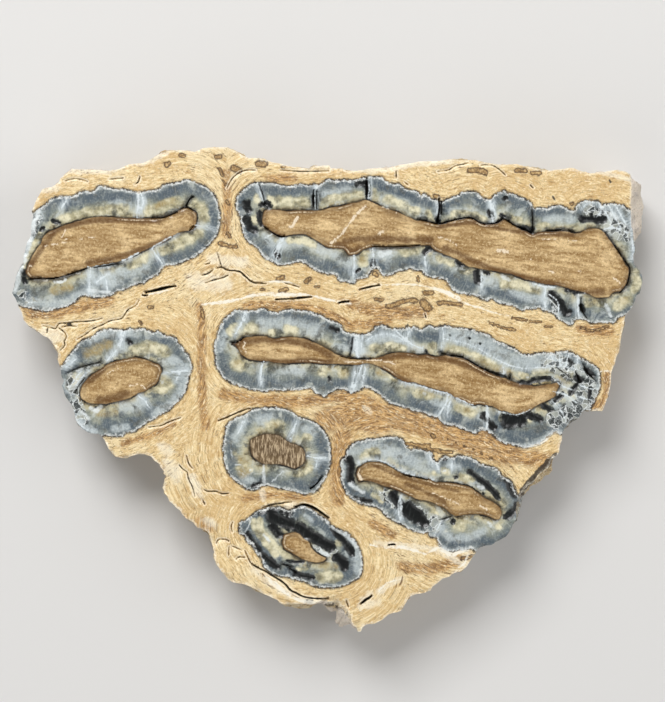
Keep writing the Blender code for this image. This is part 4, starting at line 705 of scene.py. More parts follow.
def face_mesh():
    """The face's flat mesh: the rim's loop, every drawn line and an even scatter between them."""
    spots = [tuple(spot) for spot in edge]
    count = len(spots)
    edges = [(index, (index + 1) % count) for index in range(count)]
    drawn = [(loop, True) for loop in bands] + [(loop, True) for loop in cores]
    for half_width, line in dark_curves:
        drawn.append((line, False))
        if half_width > OPEN_CRACK and len(line) > 3:
            drawn.extend((lip, False) for lip in lips(line, half_width))
    drawn.extend((line, False) for _, line in pale_curves)
    for line, closed in drawn:
        clear = is_inside(line, edge) & (gap_to(line, edge, True)[0] > RIM_CLEARANCE)
        clear &= thinned(line, spots, LINE_CLEARANCE)
        start = len(spots)
        numbers = np.cumsum(clear) - 1 + start
        spots.extend(tuple(spot) for spot in line[clear])
        last = len(line) if closed else len(line) - 1
        for index in range(last):
            after = (index + 1) % len(line)
            if clear[index] and clear[after]:
                edges.append((int(numbers[index]), int(numbers[after])))
    scatter = staggered(34.5, FACE_PITCH)
    scatter += np.random.default_rng(7).uniform(-SCATTER_SHAKE, SCATTER_SHAKE, scatter.shape)
    scatter = scatter[is_inside(scatter, edge)]
    scatter = scatter[thinned(scatter, spots, SCATTER_CLEARANCE)]
    spots.extend(tuple(spot) for spot in scatter)
    return filled(spots, edges, edge)


def staggered(half_width, pitch):
    """Points in staggered rows over the whole slice, a pitch apart."""
    rows = []
    for number, y in enumerate(np.arange(-half_width, half_width, pitch * math.sqrt(3) / 2)):
        xs = np.arange(-HALF_LENGTH, HALF_LENGTH, pitch) + (pitch / 2 if number % 2 else 0.0)
        rows.append(np.stack([xs, np.full(len(xs), y)], axis=1))
    return np.concatenate(rows)


def filled(spots, edges, loop):
    """Triangles between all the spots inside a loop, with the edges given kept."""
    flat, _, triangles, _, _, _ = delaunay_2d_cdt([Vector(spot) for spot in spots], edges, [], 0, 1e-5)
    flat = np.array([(spot.x, spot.y) for spot in flat])
    triangles = np.array([triangle for triangle in triangles if len(triangle) == 3])
    return flat, upward(flat, triangles[is_inside(flat[triangles].mean(axis=1), loop)])


def upward(flat, triangles):
    """The triangles without slivers, each turned so that its normal points up."""
    a, b, c = (flat[triangles[:, corner]] for corner in range(3))
    turn = (b[:, 0] - a[:, 0]) * (c[:, 1] - a[:, 1]) - (b[:, 1] - a[:, 1]) * (c[:, 0] - a[:, 0])
    triangles = triangles[np.abs(turn) > 1e-9]
    turn = turn[np.abs(turn) > 1e-9]
    triangles[turn < 0] = triangles[turn < 0][:, ::-1]
    return triangles


def border_of(triangles):
    """The one loop of edges that only one triangle has, in order."""
    pairs = np.concatenate([triangles[:, [0, 1]], triangles[:, [1, 2]], triangles[:, [2, 0]]])
    known = set(map(tuple, pairs.tolist()))
    following = {a: b for a, b in known if (b, a) not in known}
    start = next(iter(sorted(following)))
    loop = [start]
    while following[loop[-1]] != start:
        loop.append(following[loop[-1]])
    return loop


def close_by(points, line, reach):
    """The numbers of the points in the box that a line and a reach around it take up."""
    low, high = line.min(axis=0) - reach, line.max(axis=0) + reach
    return np.nonzero(((points > low) & (points < high)).all(axis=1))[0]


def smooth_step(value, low, high):
    """0 up to low, 1 from high on, and a smooth rise between."""
    share = np.clip((value - low) / (high - low), 0.0, 1.0)
    return share * share * (3 - 2 * share)


def painted(points, wobble, marks, crisp):
    """A mask of soft-edged strokes and spots, strongest on their middle lines."""
    mask = np.zeros(len(points))
    for mark in marks:
        half_width = mark[0]
        line = outline(*mark[1:]) if len(mark) > 3 else outline(*mark[1:], mark[1] + SPOT_LENGTH, mark[2])
        line = curved(line, 0.5, False) if len(line) > 2 else line
        near = close_by(points, line, half_width * 1.6 + 0.3)
        if not len(near):
            continue
        gap = gap_to(points[near], line, False)[0] + wobble[near] * min(half_width, 0.7)
        full, none = (0.75, 1.2) if crisp else (0.4, 1.35)
        mask[near] = np.maximum(mask[near], 1 - smooth_step(gap / half_width, full, none))
    return mask


face, face_triangles = face_mesh()
face_loop = border_of(face_triangles)
loop_count = len(face_loop)
finder = nearest_among(edge)
loop_station = np.array([finder.find((*face[vertex], 0.0))[1] for vertex in face_loop])

# The broken wall below the face's edge. The tooth broke off along its own lumps and ledges, so the
# wall is coarse stone that was never ground: lumps, a ledge half way down, crumbs and facets.
depths = np.concatenate([[0.05, 0.16, 0.34, 0.6], np.arange(0.95, FACE_HEIGHT - 0.2, WALL_PITCH),
                         [FACE_HEIGHT]])
wall_rows = []
for depth in depths:
    height = FACE_HEIGHT - depth
    slope = np.interp(depth, [0, 0.3, 1.3, 2.8, 4.8], [1, 0.9, 0.55, 0.2, 0])
    draw_in = np.interp(depth, [0, 0.3, 1.3, 2.8, 4.8, 6.7, 8.5, 10],
                        [0, -0.06, -0.05, 0, 0.05, 0.15, 0.35, 0.6])
    rough = np.interp(depth, [0, 0.3, 1.3, 2.8, 8.5, 10], [0, 0.15, 0.7, 1, 1, 0.6])
    row = []
    for station in loop_station:
        x, y = rim_stations[station]
        lump = noise.fractal(Vector((x, y, height)) / BREAK_GRAIN, 0.8, 2.1, 3)
        ledge = 0.5 if height < FACE_HEIGHT * (0.5 + 0.6 * noise.noise(Vector((x, y, 0)) / 7.5)) else 0.0
        crumb = noise.fractal(Vector((x * 1.7, y * 1.7, height * 2.2)), 0.8, 2.2, 4)
        facet = noise.voronoi(Vector((x, y, height * 1.3)) / 2.6)[0][0] - 0.45
        gritty = min(1.0, depth * 1.3) * (0.2 * crumb + 0.55 * facet)
        out = rough * (0.45 * lump - 0.15 - ledge) - draw_in + gritty - 0.05
        spot = rim_stations[station] + set_back[station] * slope + rim_outward[station] * out
        row.append((spot[0], spot[1], height))
    wall_rows.append(row)
wall = np.array(wall_rows)
wall[-1, :, 2] = 0.0

# The sawn back. The slice was cut from the tooth with a flat saw and lies on this side, so the
# back is one flat face that closes the wall's lowest row.
foot = wall[-1, :, :2]
back_spots = [tuple(spot) for spot in foot]
back_edges = [(index, (index + 1) % loop_count) for index in range(loop_count)]
scatter = staggered(34.0, BACK_PITCH)
scatter = scatter[is_inside(scatter, foot)]
scatter = scatter[thinned(scatter, back_spots, BACK_PITCH * 0.5)]
back_spots.extend(tuple(spot) for spot in scatter)
back, back_triangles = filled(back_spots, back_edges, foot)
back_triangles = back_triangles[:, ::-1]

# All the vertices together: face, wall row by row, then what the back has beyond its edge.
spread = np.concatenate([face, wall[:, :, :2].reshape(-1, 2), back[loop_count:]])
heights = np.concatenate([np.full(len(face), FACE_HEIGHT), wall[:, :, 2].ravel(),
                          np.zeros(len(back) - loop_count)])
face_count = len(face)
last_row = face_count + (len(depths) - 1) * loop_count
wall_faces = []
above = np.array(face_loop)
for number in range(len(depths)):
    below = face_count + number * loop_count + np.arange(loop_count)
    wall_faces.append(np.stack([above, below, np.roll(below, -1), np.roll(above, -1)], axis=1))
    above = below
wall_faces = np.concatenate(wall_faces)
back_numbers = np.concatenate([last_row + np.arange(loop_count),
                               face_count + len(depths) * loop_count + np.arange(len(back) - loop_count)])
back_faces = back_numbers[back_triangles]

# What every point of the slice is made of. Enamel, dentine and cementum grew onto one another and
# turned to stone together, so they are one piece: each point carries how deep it lies in each,
# and how strongly each mark shows there.
rough_noise = np.array([noise.noise(Vector((x * 0.9, y * 0.9, 3.1))) * 0.45
                        + noise.noise(Vector((x * 2.6, y * 2.6, 7.7))) * 0.3 for x, y in spread])
in_band = np.full(len(spread), -1e6)
in_core = np.full(len(spread), -1e6)
nearest_gap = np.full(len(spread), 1e6)
nearest_plate = np.zeros(len(spread), dtype=int)
growth = np.zeros((len(spread), 3))
for number, (band, core) in enumerate(zip(bands, cores)):
    gap, _ = gap_to(spread, band, True)
    in_band = np.maximum(in_band, np.where(is_inside(spread, band), gap, -gap))
    gap, _ = gap_to(spread, core, True)
    in_core = np.maximum(in_core, np.where(is_inside(spread, core), gap, -gap))
    even = stations(plates[number][0], 1.0, True)
    for _ in range(3):
        even = sum(np.roll(even, shift, axis=0) for shift in (2, 1, 0, -1, -2)) / 5
    gap, along = gap_to(spread, even, True)
    gap = np.where(is_inside(spread, even), -gap, gap)
    length = float(np.hypot(*(np.roll(even, -1, axis=0) - even).T).sum())
    angle = along / length * 2 * math.pi
    radius = length / (2 * math.pi)
    mine = np.stack([radius * np.cos(angle) + 40 * number, radius * np.sin(angle), gap], axis=1)
    nearer = gap < nearest_gap
    growth[nearer] = mine[nearer]
    nearest_plate[nearer] = number
    nearest_gap = np.where(nearer, gap, nearest_gap)
rim_gap = np.concatenate([gap_to(face, edge, True)[0], heights[face_count:] - FACE_HEIGHT])

masks = {name: painted(spread, rough_noise, marks, False) for name, marks in enamel_marks.items()}
masks["chip"] = painted(spread, rough_noise, dentine_marks["white"], True)
masks["brown"] = painted(spread, rough_noise, dentine_marks["brown"], False)
for name in ("stain", "bleach", "shade"):
    masks[name] = painted(spread, rough_noise, cementum_marks[name], False)
masks["canal"] = painted(spread, rough_noise * 0.8, cementum_marks["canal"], False)
crack = np.full(len(spread), 2.0)
vein = np.full(len(spread), 2.0)
for curves, gaps in ((dark_curves, crack), (pale_curves, vein)):
    for half_width, line in curves:
        near = close_by(spread, line, 1.5)
        gap, along = gap_to(spread[near], line, False)
        taper = np.sin(np.clip(along / max(along.max(), 1e-6), 0.03, 0.97) * math.pi) ** 0.4
        gaps[near] = np.minimum(gaps[near], gap - half_width * taper)

# The relief of the polished face. Enamel is the hardest and stands a little proud after polishing,
# while joints, open cracks and black pockets are sunk and the edge is chipped. In millimetres.
ENAMEL_PROUD, DENTINE_SUNK, RIPPLE = 0.05, 0.03, 0.012
JOINT_SUNK, CORE_JOINT_SUNK, POCKET_SUNK = 0.07, 0.05, 0.22
SHOULDER_WEAR, HOLLOW_WEAR, EDGE_WEAR, CHIP_DEPTH = 0.35, 0.4, 0.06, 0.5
crisp_band = smooth_step(in_band[:face_count], 0.0, 0.35)
fine = np.array([noise.noise(Vector((x * 1.7, y * 1.7, 1.3))) for x, y in face])
relief = ENAMEL_PROUD * crisp_band - DENTINE_SUNK * smooth_step(in_core[:face_count], 0.0, 0.3)
relief -= JOINT_SUNK * (1 - smooth_step(np.abs(in_band[:face_count] + 0.05), 0.03, 0.22)) * (0.4 + fine)
relief -= CORE_JOINT_SUNK * (1 - smooth_step(np.abs(in_core[:face_count]), 0.03, 0.2))
relief -= POCKET_SUNK * masks["black"][:face_count] ** 2 * (in_core[:face_count] < 0)
relief += RIPPLE * fine
sunk = np.zeros(face_count)
for half_width, line in dark_curves:
    near = close_by(face, line, 1)
    gap, _ = gap_to(face[near], line, False)
    depth = min(1.0, 5.5 * half_width) * smooth_step(-gap, -max(half_width * 0.9, 0.05), -0.01)
    sunk[near] = np.maximum(sunk[near], depth)
shoulder = painted(face, rough_noise[:face_count], ((1.6, -23.2, -12.6, -21.2, -16, -18.6, -18.6, -17,
                                                     -20.4),), False)
hollow = painted(face, rough_noise[:face_count], ((0.8, -1, -29.9, 0.6, -29.7, 2, -30.2),), False)
edge_gap = rim_gap[:face_count]
edge_wear = 1 - smooth_step(edge_gap, 0.0, 0.35)
nicks = np.array([noise.noise(Vector((x * 0.75, y * 0.75, 9.1)))
                  + 0.4 * noise.noise(Vector((x * 2.4, y * 2.4, 4.2))) for x, y in face])
nicks = smooth_step(nicks, 0.0, 0.6) * (1 - smooth_step(edge_gap, 0.05, 0.8))
relief = relief - sunk - SHOULDER_WEAR * shoulder - HOLLOW_WEAR * hollow
heights[:face_count] += relief - EDGE_WEAR * edge_wear * (1 + fine) - CHIP_DEPTH * nicks
steps = heights[face_count:face_count + 8 * loop_count].reshape(8, loop_count)
np.minimum(steps, heights[face_loop] - 0.05 * np.arange(1, 9)[:, None], out=steps)

mesh = bpy.data.meshes.new("polished_tooth_slice")
corners = [face_triangles.tolist(), wall_faces.tolist(), back_faces.tolist()]
mesh.from_pydata((np.column_stack([spread, heights]) * MM).tolist(), [], corners[0] + corners[1] + corners[2])
kinds = np.repeat([0, 1, 2], [len(part) for part in corners])
mesh.polygons.foreach_set("material_index", kinds.astype(np.int32))
mesh.polygons.foreach_set("use_smooth", np.ones(len(kinds), dtype=bool))
measures = dict(masks, in_band=in_band, in_core=in_core, crack=crack, vein=vein, rim_gap=rim_gap,
                crystals=(nearest_plate == 4) * 1.0)
for name, values in measures.items():
    mesh.attributes.new(name, "FLOAT", "POINT").data.foreach_set("value", values.astype(np.float32))
growth_values = mesh.attributes.new("growth", "FLOAT_VECTOR", "POINT").data
growth_values.foreach_set("vector", growth.astype(np.float32).ravel())

# A flat layout of the surface, for finishes baked onto it: the face large, the wall in four strips
# below it, and the back small beside them. All are shares of the layout's side, or of it a millimetre.
CORNER_X, CORNER_Y, FACE_SPAN, FACE_FLOOR = 45.2, 34.6, 90.5, 0.235
STRIP_LEFT, STRIP_LENGTH, STRIP_HEIGHT, WALL_SHARE = 0.006, 0.715, 0.05, 0.0042
BACK_LEFT, BACK_FLOOR, BACK_SHARE = 0.735, 0.008, 0.0028
strip = (loop_count + 3) // 4
layout = []
for triangle in corners[0]:
    layout.extend(((spread[v][0] + CORNER_X) / FACE_SPAN,
                   (spread[v][1] + CORNER_Y) / FACE_SPAN + FACE_FLOOR) for v in triangle)
for number in range(len(corners[1])):
    level, column = divmod(number, loop_count)
    band_number, place = divmod(column, strip)
    left = STRIP_LEFT + place / strip * STRIP_LENGTH
    right = STRIP_LEFT + (place + 1) / strip * STRIP_LENGTH
    roof = STRIP_HEIGHT * band_number + STRIP_HEIGHT
    top = roof - (0 if level == 0 else depths[level - 1]) * WALL_SHARE
    low = roof - depths[level] * WALL_SHARE
    layout.extend(((left, top), (left, low), (right, low), (right, top)))
whole = np.column_stack([spread, heights])
for triangle in corners[2]:
    layout.extend((BACK_LEFT + (whole[v][0] + CORNER_X) * BACK_SHARE,
                   BACK_FLOOR + (whole[v][1] + CORNER_Y) * BACK_SHARE) for v in triangle)
mesh.uv_layers.new(name="OFBake").data.foreach_set("uv", np.array(layout, dtype=np.float32).ravel())
mesh.validate()
mesh.set_sharp_from_angle(angle=math.radians(48))
slice_piece = bpy.data.objects.new("polished_tooth_slice", mesh)
bpy.context.scene.collection.objects.link(slice_piece)


# The finishes. The face is enamel, dentine and cementum turned to stone and polished, the wall is
# the same stone broken off, and the back the same stone sawn. Each layer's pattern is a node group
# of its own and one joins them. The helpers add their nodes to the tree being filled, named tree.
def colour(red, green, blue):
    """A shader colour from the 0 to 255 values of a swatch."""
    parts = [part / 255 for part in (red, green, blue)]
    linear = [part / 12.92 if part <= 0.04045 else ((part + 0.055) / 1.055) ** 2.4 for part in parts]
    return (*linear, 1.0)


def feed(socket, value):
    if isinstance(value, bpy.types.NodeSocket):
        tree.links.new(value, socket)
    else:
        socket.default_value = value


def reckon(operation, first, second=0.0, third=0.0):
    node = tree.nodes.new("ShaderNodeMath")
    node.operation = operation
    for socket, value in zip(node.inputs, (first, second, third)):
        feed(socket, value)
    return node.outputs[0]


def times(*values):
    whole = values[0]
    for value in values[1:]:
        whole = reckon("MULTIPLY", whole, value)
    return whole


def mixed(share, first, second):
    node = tree.nodes.new("ShaderNodeMix")
    node.data_type = "RGBA"
    feed(node.inputs[0], share)
    feed(node.inputs[6], first)
    feed(node.inputs[7], second)
    return node.outputs[2]


def laid(paint, share, *shade):
    """The paint with a swatch laid over it by the share given."""
    return mixed(share, paint, colour(*shade))


def swung(value, by, amount, less=None):
    """The value swung up and down by a noise that runs from 0 to 1."""
    return reckon("ADD", value, reckon("MULTIPLY_ADD", by, amount, -(less or amount / 2)))


def fade(value, low, high, bottom=0.0, top=1.0):
    """Smoothly from bottom to top as the value goes from low to high."""
    node = tree.nodes.new("ShaderNodeMapRange")
    node.interpolation_type = "SMOOTHSTEP"
    feed(node.inputs[0], value)
    for socket, number in zip(node.inputs[1:5], (low, high, bottom, top)):
        socket.default_value = number
    return node.outputs[0]


def stretched(vector, scale):
    node = tree.nodes.new("ShaderNodeVectorMath")
    node.operation = "MULTIPLY"
    feed(node.inputs[0], vector)
    node.inputs[1].default_value = scale
    return node.outputs[0]


def grainy(vector, scale, detail=3.0, roughness=0.55, distortion=0.0):
    node = tree.nodes.new("ShaderNodeTexNoise")
    feed(node.inputs["Vector"], vector)
    node.inputs["Scale"].default_value = scale
    node.inputs["Detail"].default_value = detail
    node.inputs["Roughness"].default_value = roughness
    node.inputs["Distortion"].default_value = distortion
    return node.outputs[0]


def shaken(vector, scale, amount):
    """The place pushed about by noise, so that a regular pattern read there turns irregular."""
    node = tree.nodes.new("ShaderNodeTexNoise")
    feed(node.inputs["Vector"], vector)
    node.inputs["Scale"].default_value = scale
    node.inputs["Detail"].default_value = 3.0
    push = tree.nodes.new("ShaderNodeVectorMath")
    push.operation = "MULTIPLY_ADD"
    tree.links.new(node.outputs["Color"], push.inputs[0])
    push.inputs[1].default_value = (amount, amount, amount)
    feed(push.inputs[2], vector)
    return push.outputs[0]


def cells(vector, scale):
    """Irregular cells: the distance to their walls, and two random shares for each cell."""
    walls = tree.nodes.new("ShaderNodeTexVoronoi")
    walls.feature = "DISTANCE_TO_EDGE"
    fills = tree.nodes.new("ShaderNodeTexVoronoi")
    for node in (walls, fills):
        feed(node.inputs["Vector"], vector)
        node.inputs["Scale"].default_value = scale
    parts = tree.nodes.new("ShaderNodeSeparateColor")
    tree.links.new(fills.outputs["Color"], parts.inputs[0])
    return walls.outputs["Distance"], parts.outputs[0], parts.outputs[1]


def new_group(name, wanted, given):
    """An empty node group with named inputs and outputs, and the sockets to join them by."""
    global tree
    tree = group = bpy.data.node_groups.new(name, "ShaderNodeTree")
    for label, kind in wanted:
        group.interface.new_socket(label, in_out="INPUT", socket_type="NodeSocket" + kind)
    for label, kind in given:
        group.interface.new_socket(label, in_out="OUTPUT", socket_type="NodeSocket" + kind)
    return group.nodes.new("NodeGroupInput").outputs, group.nodes.new("NodeGroupOutput").inputs


def use_group(group, values):
    """A node group placed in a tree, with a value or a link for each of its inputs."""
    node = tree.nodes.new("ShaderNodeGroup")
    node.node_tree = group
    for label, value in values.items():
        feed(node.inputs[label], value)
    return node.outputs


def floats(*names):
    return tuple((name, "Float") for name in names)


wanted, given = new_group(
    "glassy_enamel",
    (("place", "Vector"), ("growth", "Vector"))
    + floats("in_band", "in_core", "slate", "pale", "cream", "ochre", "white", "black", "shatter", "crack",
             "vein"),
    (("Color", "Color"), ("Height", "Float")))
place, grown = wanted["place"], wanted["growth"]
clouds = grainy(place, 0.55, 5.0, 0.6)
smoke = grainy(place, 0.42, 5.0, 0.68, 0.6)
prisms = grainy(stretched(grown, (4.2, 4.2, 0.8)), 1.0, 4.0, 0.65)
layers = grainy(stretched(grown, (0.35, 0.35, 2.2)), 1.0, 4.0, 0.6)
fine = grainy(place, 3.6, 3.0, 0.7)
thickness = reckon("MAXIMUM", reckon("SUBTRACT", wanted["in_band"], wanted["in_core"]), 0.4)
across = reckon("DIVIDE", wanted["in_band"], thickness)
across = swung(across, clouds, 0.6)
across = swung(across, layers, 0.36)
pillows = grainy(stretched(grown, (0.3, 0.3, 0.1)), 1.0, 3.0, 0.5)
across = swung(across, pillows, 0.7)
ramp = tree.nodes.new("ShaderNodeValToRGB")
tree.links.new(across, ramp.inputs[0])
shades = ((0.0, (138, 146, 144)), (0.14, (86, 96, 101)), (0.34, (98, 108, 111)), (0.52, (128, 134, 126)),
          (0.68, (166, 167, 149)),
          (0.82, (188, 183, 154)), (0.93, (178, 166, 130)), (1.0, (96, 84, 58)))
while len(ramp.color_ramp.elements) < len(shades):
    ramp.color_ramp.elements.new(0.5)
for stop, (position, shade) in zip(ramp.color_ramp.elements, shades):
    stop.position = position
    stop.color = colour(*shade)
paint = ramp.outputs[0]
paint = laid(paint, fade(smoke, 0.54, 0.64, 0.0, 0.62), 192, 199, 196)
paint = laid(paint, fade(clouds, 0.44, 0.32, 0.0, 0.75), 62, 72, 80)
paint = laid(paint, times(wanted["slate"], fade(clouds, 0.3, 0.5, 0.75, 0.5)), 76, 89, 100)
paint = laid(paint, times(wanted["pale"], fade(fine, 0.3, 0.6, 0.55, 0.85)), 184, 193, 194)
mottle = grainy(place, 0.85, 3.0, 0.55)
olive = fade(swung(wanted["cream"], clouds, 1.2), -0.05, 0.6)
paint = laid(paint, times(olive, 0.55), 156, 153, 124)
creamy = swung(wanted["cream"], smoke, 1.3, 0.75)
creamy = swung(creamy, mottle, 1.2)
paint = mixed(fade(creamy, 0.0, 1.1, 0.0, 0.85), paint, mixed(fade(mottle, 0.38, 0.64), colour(164, 154, 116),
                                                              colour(230, 222, 188)))
paint = laid(paint, fade(mottle, 0.45, 0.32, 0.0, 0.45), 80, 75, 58)
paint = laid(paint, times(wanted["ochre"], fade(mottle, 0.35, 0.62, 0.85, 0.35)), 166, 146, 96)
gaps = times(fade(reckon("MULTIPLY_ADD", mottle, 0.5, pillows), 0.7, 0.58),
             fade(wanted["in_core"], -2.0, -0.5))
paint = laid(paint, times(gaps, 0.8), 50, 52, 44)
smoky = times(fade(smoke, 0.42, 0.28), fade(wanted["in_core"], -3.0, -1.2), fade(wanted["white"], 0.4, 0.0))
paint = laid(paint, times(smoky, 0.8), 40, 44, 42)
joints = times(fade(swung(wanted["crack"], mottle, 1.6), 0.75, 0.0),
               fade(wanted["in_core"], -3.2, -1.4, 0.35, 1.0))
paint = laid(paint, times(joints, 0.85), 38, 42, 42)
paint = laid(paint, fade(prisms, 0.48, 0.75, 0.0, 0.2), 222, 226, 220)
paint = laid(paint, fade(prisms, 0.5, 0.25, 0.0, 0.22), 52, 58, 62)
paint = laid(paint, fade(fine, 0.5, 0.66, 0.0, 0.14), 228, 230, 220)
paint = laid(paint, fade(fine, 0.48, 0.32, 0.0, 0.12), 40, 44, 44)
halo = fade(wanted["in_core"], -0.75, -0.1)
paint = laid(paint, times(halo, fade(smoke, 0.36, 0.56, 0.75, 0.12)), 80, 70, 50)
haze = times(fade(wanted["vein"], 0.8, 0.0), fade(prisms, 0.36, 0.6, 0.2, 0.7))
paint = laid(paint, haze, 200, 210, 214)
notches = grainy(place, 2.1, 4.0, 0.75)
dark = swung(wanted["black"], mottle, 1.8)
dark = swung(dark, notches, 1.8)
near_dark = fade(wanted["black"], 0.0, 0.25)
paint = laid(paint, times(fade(dark, -0.5, 0.5), near_dark, 0.8), 50, 56, 56)
# Painted reflection: inside the black, lighter streaks along the prisms stand for light glancing off the
# glassy enamel.
paint = mixed(times(fade(dark, 0.15, 0.7), near_dark), paint, mixed(fade(prisms, 0.54, 0.74),
                                                                    colour(12, 14, 14), colour(56, 62, 60)))
flakes, tone, shine = cells(shaken(place, 1.0, 0.95), 1.25)
shards, shard_tone, _ = cells(shaken(place, 2.5, 0.6), 3.1)
broken = fade(swung(wanted["shatter"], clouds, 0.5), 0.35, 0.75)
broken = times(broken, fade(wanted["black"], 0.5, 0.15))
paint = laid(paint, times(broken, fade(tone, 0.72, 0.5, 0.0, 0.9)), 36, 40, 38)
paint = laid(paint, times(broken, fade(shine, 0.55, 0.9, 0.0, 0.75)), 176, 178, 166)
splinters = times(broken, fade(shards, 0.07, 0.02), fade(shard_tone, 0.3, 0.7, 0.0, 0.7))
paint = laid(paint, splinters, 196, 202, 202)
paint = laid(paint, times(broken, fade(flakes, 0.075, 0.02), fade(fine, 0.38, 0.54, 0.3, 0.95),
                          fade(mottle, 0.36, 0.5, 0.5, 1.0)), 224, 228, 226)
# The white mask: frosted chips and broken enamel, and some painted glints where the polish caught the light.
whitened = swung(wanted["white"], fine, 0.8)
paint = laid(paint, times(fade(whitened, 0.25, 1.15), fade(mottle, 0.36, 0.56, 0.5, 0.88)), 220, 226, 226)
rim_depth = swung(wanted["in_band"], notches, 1.7)
frost = times(fade(rim_depth, 0.34, 0.06), fade(fine, 0.36, 0.54, 0.35, 0.95))
paint = laid(paint, frost, 214, 216, 212)
tree.links.new(paint, given["Color"])
tree.links.new(reckon("MULTIPLY_ADD", prisms, 0.25, times(broken, fade(flakes, 0.0, 0.1))), given["Height"])
enamel_group = tree

wanted, given = new_group(
    "brown_dentine", (("place", "Vector"),) + floats("in_core", "brown", "chip", "crystals"),
    (("Color", "Color"), ("Height", "Float")))
place = wanted["place"]
axes = tree.nodes.new("ShaderNodeSeparateXYZ")
tree.links.new(place, axes.inputs[0])
lengthways = tree.nodes.new("ShaderNodeCombineXYZ")
tree.links.new(times(axes.outputs[0], 0.3), lengthways.inputs[0])
tree.links.new(reckon("MULTIPLY_ADD", axes.outputs[0], 0.16, times(axes.outputs[1], 1.5)),
               lengthways.inputs[1])
tree.links.new(times(wanted["in_core"], 0.7), lengthways.inputs[2])
streaks = grainy(lengthways.outputs[0], 1.0, 5.0, 0.6)
hazes = grainy(place, 0.22, 4.0, 0.6)
flecks = grainy(place, 2.9, 4.0, 0.85)
paint = mixed(fade(streaks, 0.32, 0.68), colour(142, 109, 62), colour(220, 190, 140))
paint = laid(paint, fade(hazes, 0.46, 0.62, 0.0, 0.6), 150, 117, 71)
paint = laid(paint, fade(hazes, 0.46, 0.34, 0.0, 0.5), 230, 202, 154)
paint = laid(paint, fade(flecks, 0.53, 0.64, 0.0, 0.62), 242, 220, 176)
paint = laid(paint, fade(flecks, 0.47, 0.36, 0.0, 0.62), 96, 68, 36)
border = reckon("SUBTRACT", wanted["in_core"], reckon("MULTIPLY_ADD", streaks, 1.6, -0.8))
paint = laid(paint, times(fade(border, 0.95, 0.3), fade(hazes, 0.35, 0.6, 0.25, 0.8)), 104, 76, 42)
paint = laid(paint, times(wanted["brown"], fade(flecks, 0.3, 0.6, 0.95, 0.7)), 92, 61, 30)
pale_line = times(fade(reckon("ABSOLUTE", reckon("SUBTRACT", wanted["in_core"], 0.3)), 0.14, 0.03),
                  fade(hazes, 0.5, 0.62), fade(flecks, 0.42, 0.55))
paint = laid(paint, times(pale_line, 0.8), 226, 208, 176)
bars = grainy(stretched(place, (3.4, 0.7, 1.0)), 1.0, 4.0, 0.7)
paint = mixed(times(wanted["crystals"], 0.9), paint, mixed(fade(bars, 0.46, 0.6), colour(92, 74, 52),
                                                           colour(188, 168, 138)))
paint = laid(paint, fade(wanted["in_core"], 0.16, 0.02, 0.0, 0.8), 60, 42, 26)
chipped = swung(wanted["chip"], flecks, 3.0, 1.6)
paint = laid(paint, fade(chipped, 0.3, 0.9, 0.0, 0.9), 234, 218, 192)
tree.links.new(paint, given["Color"])
tree.links.new(reckon("MULTIPLY_ADD", streaks, 0.3, times(wanted["chip"], 0.5)), given["Height"])
dentine_group = tree

wanted, given = new_group(
    "layered_cementum",
    (("place", "Vector"), ("growth", "Vector")) + floats("in_band", "stain", "bleach", "canal", "shade",
                                                         "crack", "rim_gap"),
    (("Color", "Color"), ("Height", "Float")))
place, grown = wanted["place"], wanted["growth"]
layers = grainy(stretched(grown, (0.9, 0.9, 4.2)), 1.0, 5.0, 0.72, 0.5)
dashes = grainy(stretched(shaken(grown, 0.5, 1.0), (1.1, 1.1, 5.5)), 1.0, 3.0, 0.65)
worms = grainy(stretched(grown, (0.55, 0.55, 2.0)), 1.0, 4.0, 0.65, 0.9)
grain = grainy(shaken(place, 0.8, 1.2), 3.4, 4.0, 0.85)
lumps = grainy(place, 0.9, 5.0, 0.75)
tint = grainy(place, 0.13, 4.0, 0.6)
paint = mixed(fade(layers, 0.36, 0.62), colour(198, 162, 104), colour(236, 213, 163))
paint = laid(paint, fade(tint, 0.5, 0.62, 0.0, 0.55), 204, 168, 110)
paint = laid(paint, fade(tint, 0.46, 0.36, 0.0, 0.5), 232, 214, 172)
paint = laid(paint, fade(lumps, 0.54, 0.66, 0.0, 0.5), 240, 224, 184)
paint = laid(paint, fade(lumps, 0.46, 0.33, 0.0, 0.6), 160, 122, 70)
stained = swung(wanted["stain"], lumps, 0.8)
paint = mixed(fade(stained, -0.05, 1.0, 0.0, 0.85), paint,
              mixed(fade(layers, 0.42, 0.58), colour(112, 72, 28), colour(202, 156, 92)))
bleached = swung(wanted["bleach"], lumps, 2.2, 1.2)
paint = laid(paint, fade(bleached, 0.0, 1.2, 0.0, 0.75), 240, 230, 206)
paint = laid(paint, fade(grain, 0.54, 0.68, 0.0, 0.7), 252, 240, 206)
paint = laid(paint, fade(grain, 0.45, 0.32, 0.0, 0.7), 126, 90, 48)
paint = laid(paint, times(fade(dashes, 0.56, 0.67, 0.0, 0.9), fade(tint, 0.56, 0.42, 0.45, 1.0)), 104, 72, 36)
paint = laid(paint, fade(dashes, 0.43, 0.33, 0.0, 0.7), 252, 238, 200)
thread = reckon("ABSOLUTE", reckon("SUBTRACT", worms, 0.5))
paint = mixed(times(fade(thread, 0.014, 0.003), fade(grain, 0.44, 0.54), fade(lumps, 0.44, 0.56, 0.0, 0.85)),
              paint, colour(92, 64, 34))
tube = reckon("ADD", wanted["canal"], reckon("MULTIPLY_ADD", grainy(place, 1.7, 4.0, 0.75), 1.7, -0.85))
paint = laid(paint, times(fade(tube, 0.06, 0.45, 0.0, 0.95), fade(wanted["canal"], 0.0, 0.08),
                          fade(grain, 0.34, 0.5, 0.55, 1.0)), 74, 48, 22)
paint = mixed(fade(tube, 0.62, 0.95, 0.0, 0.85), paint,
              mixed(fade(grain, 0.45, 0.58), colour(138, 102, 54), colour(214, 182, 126)))
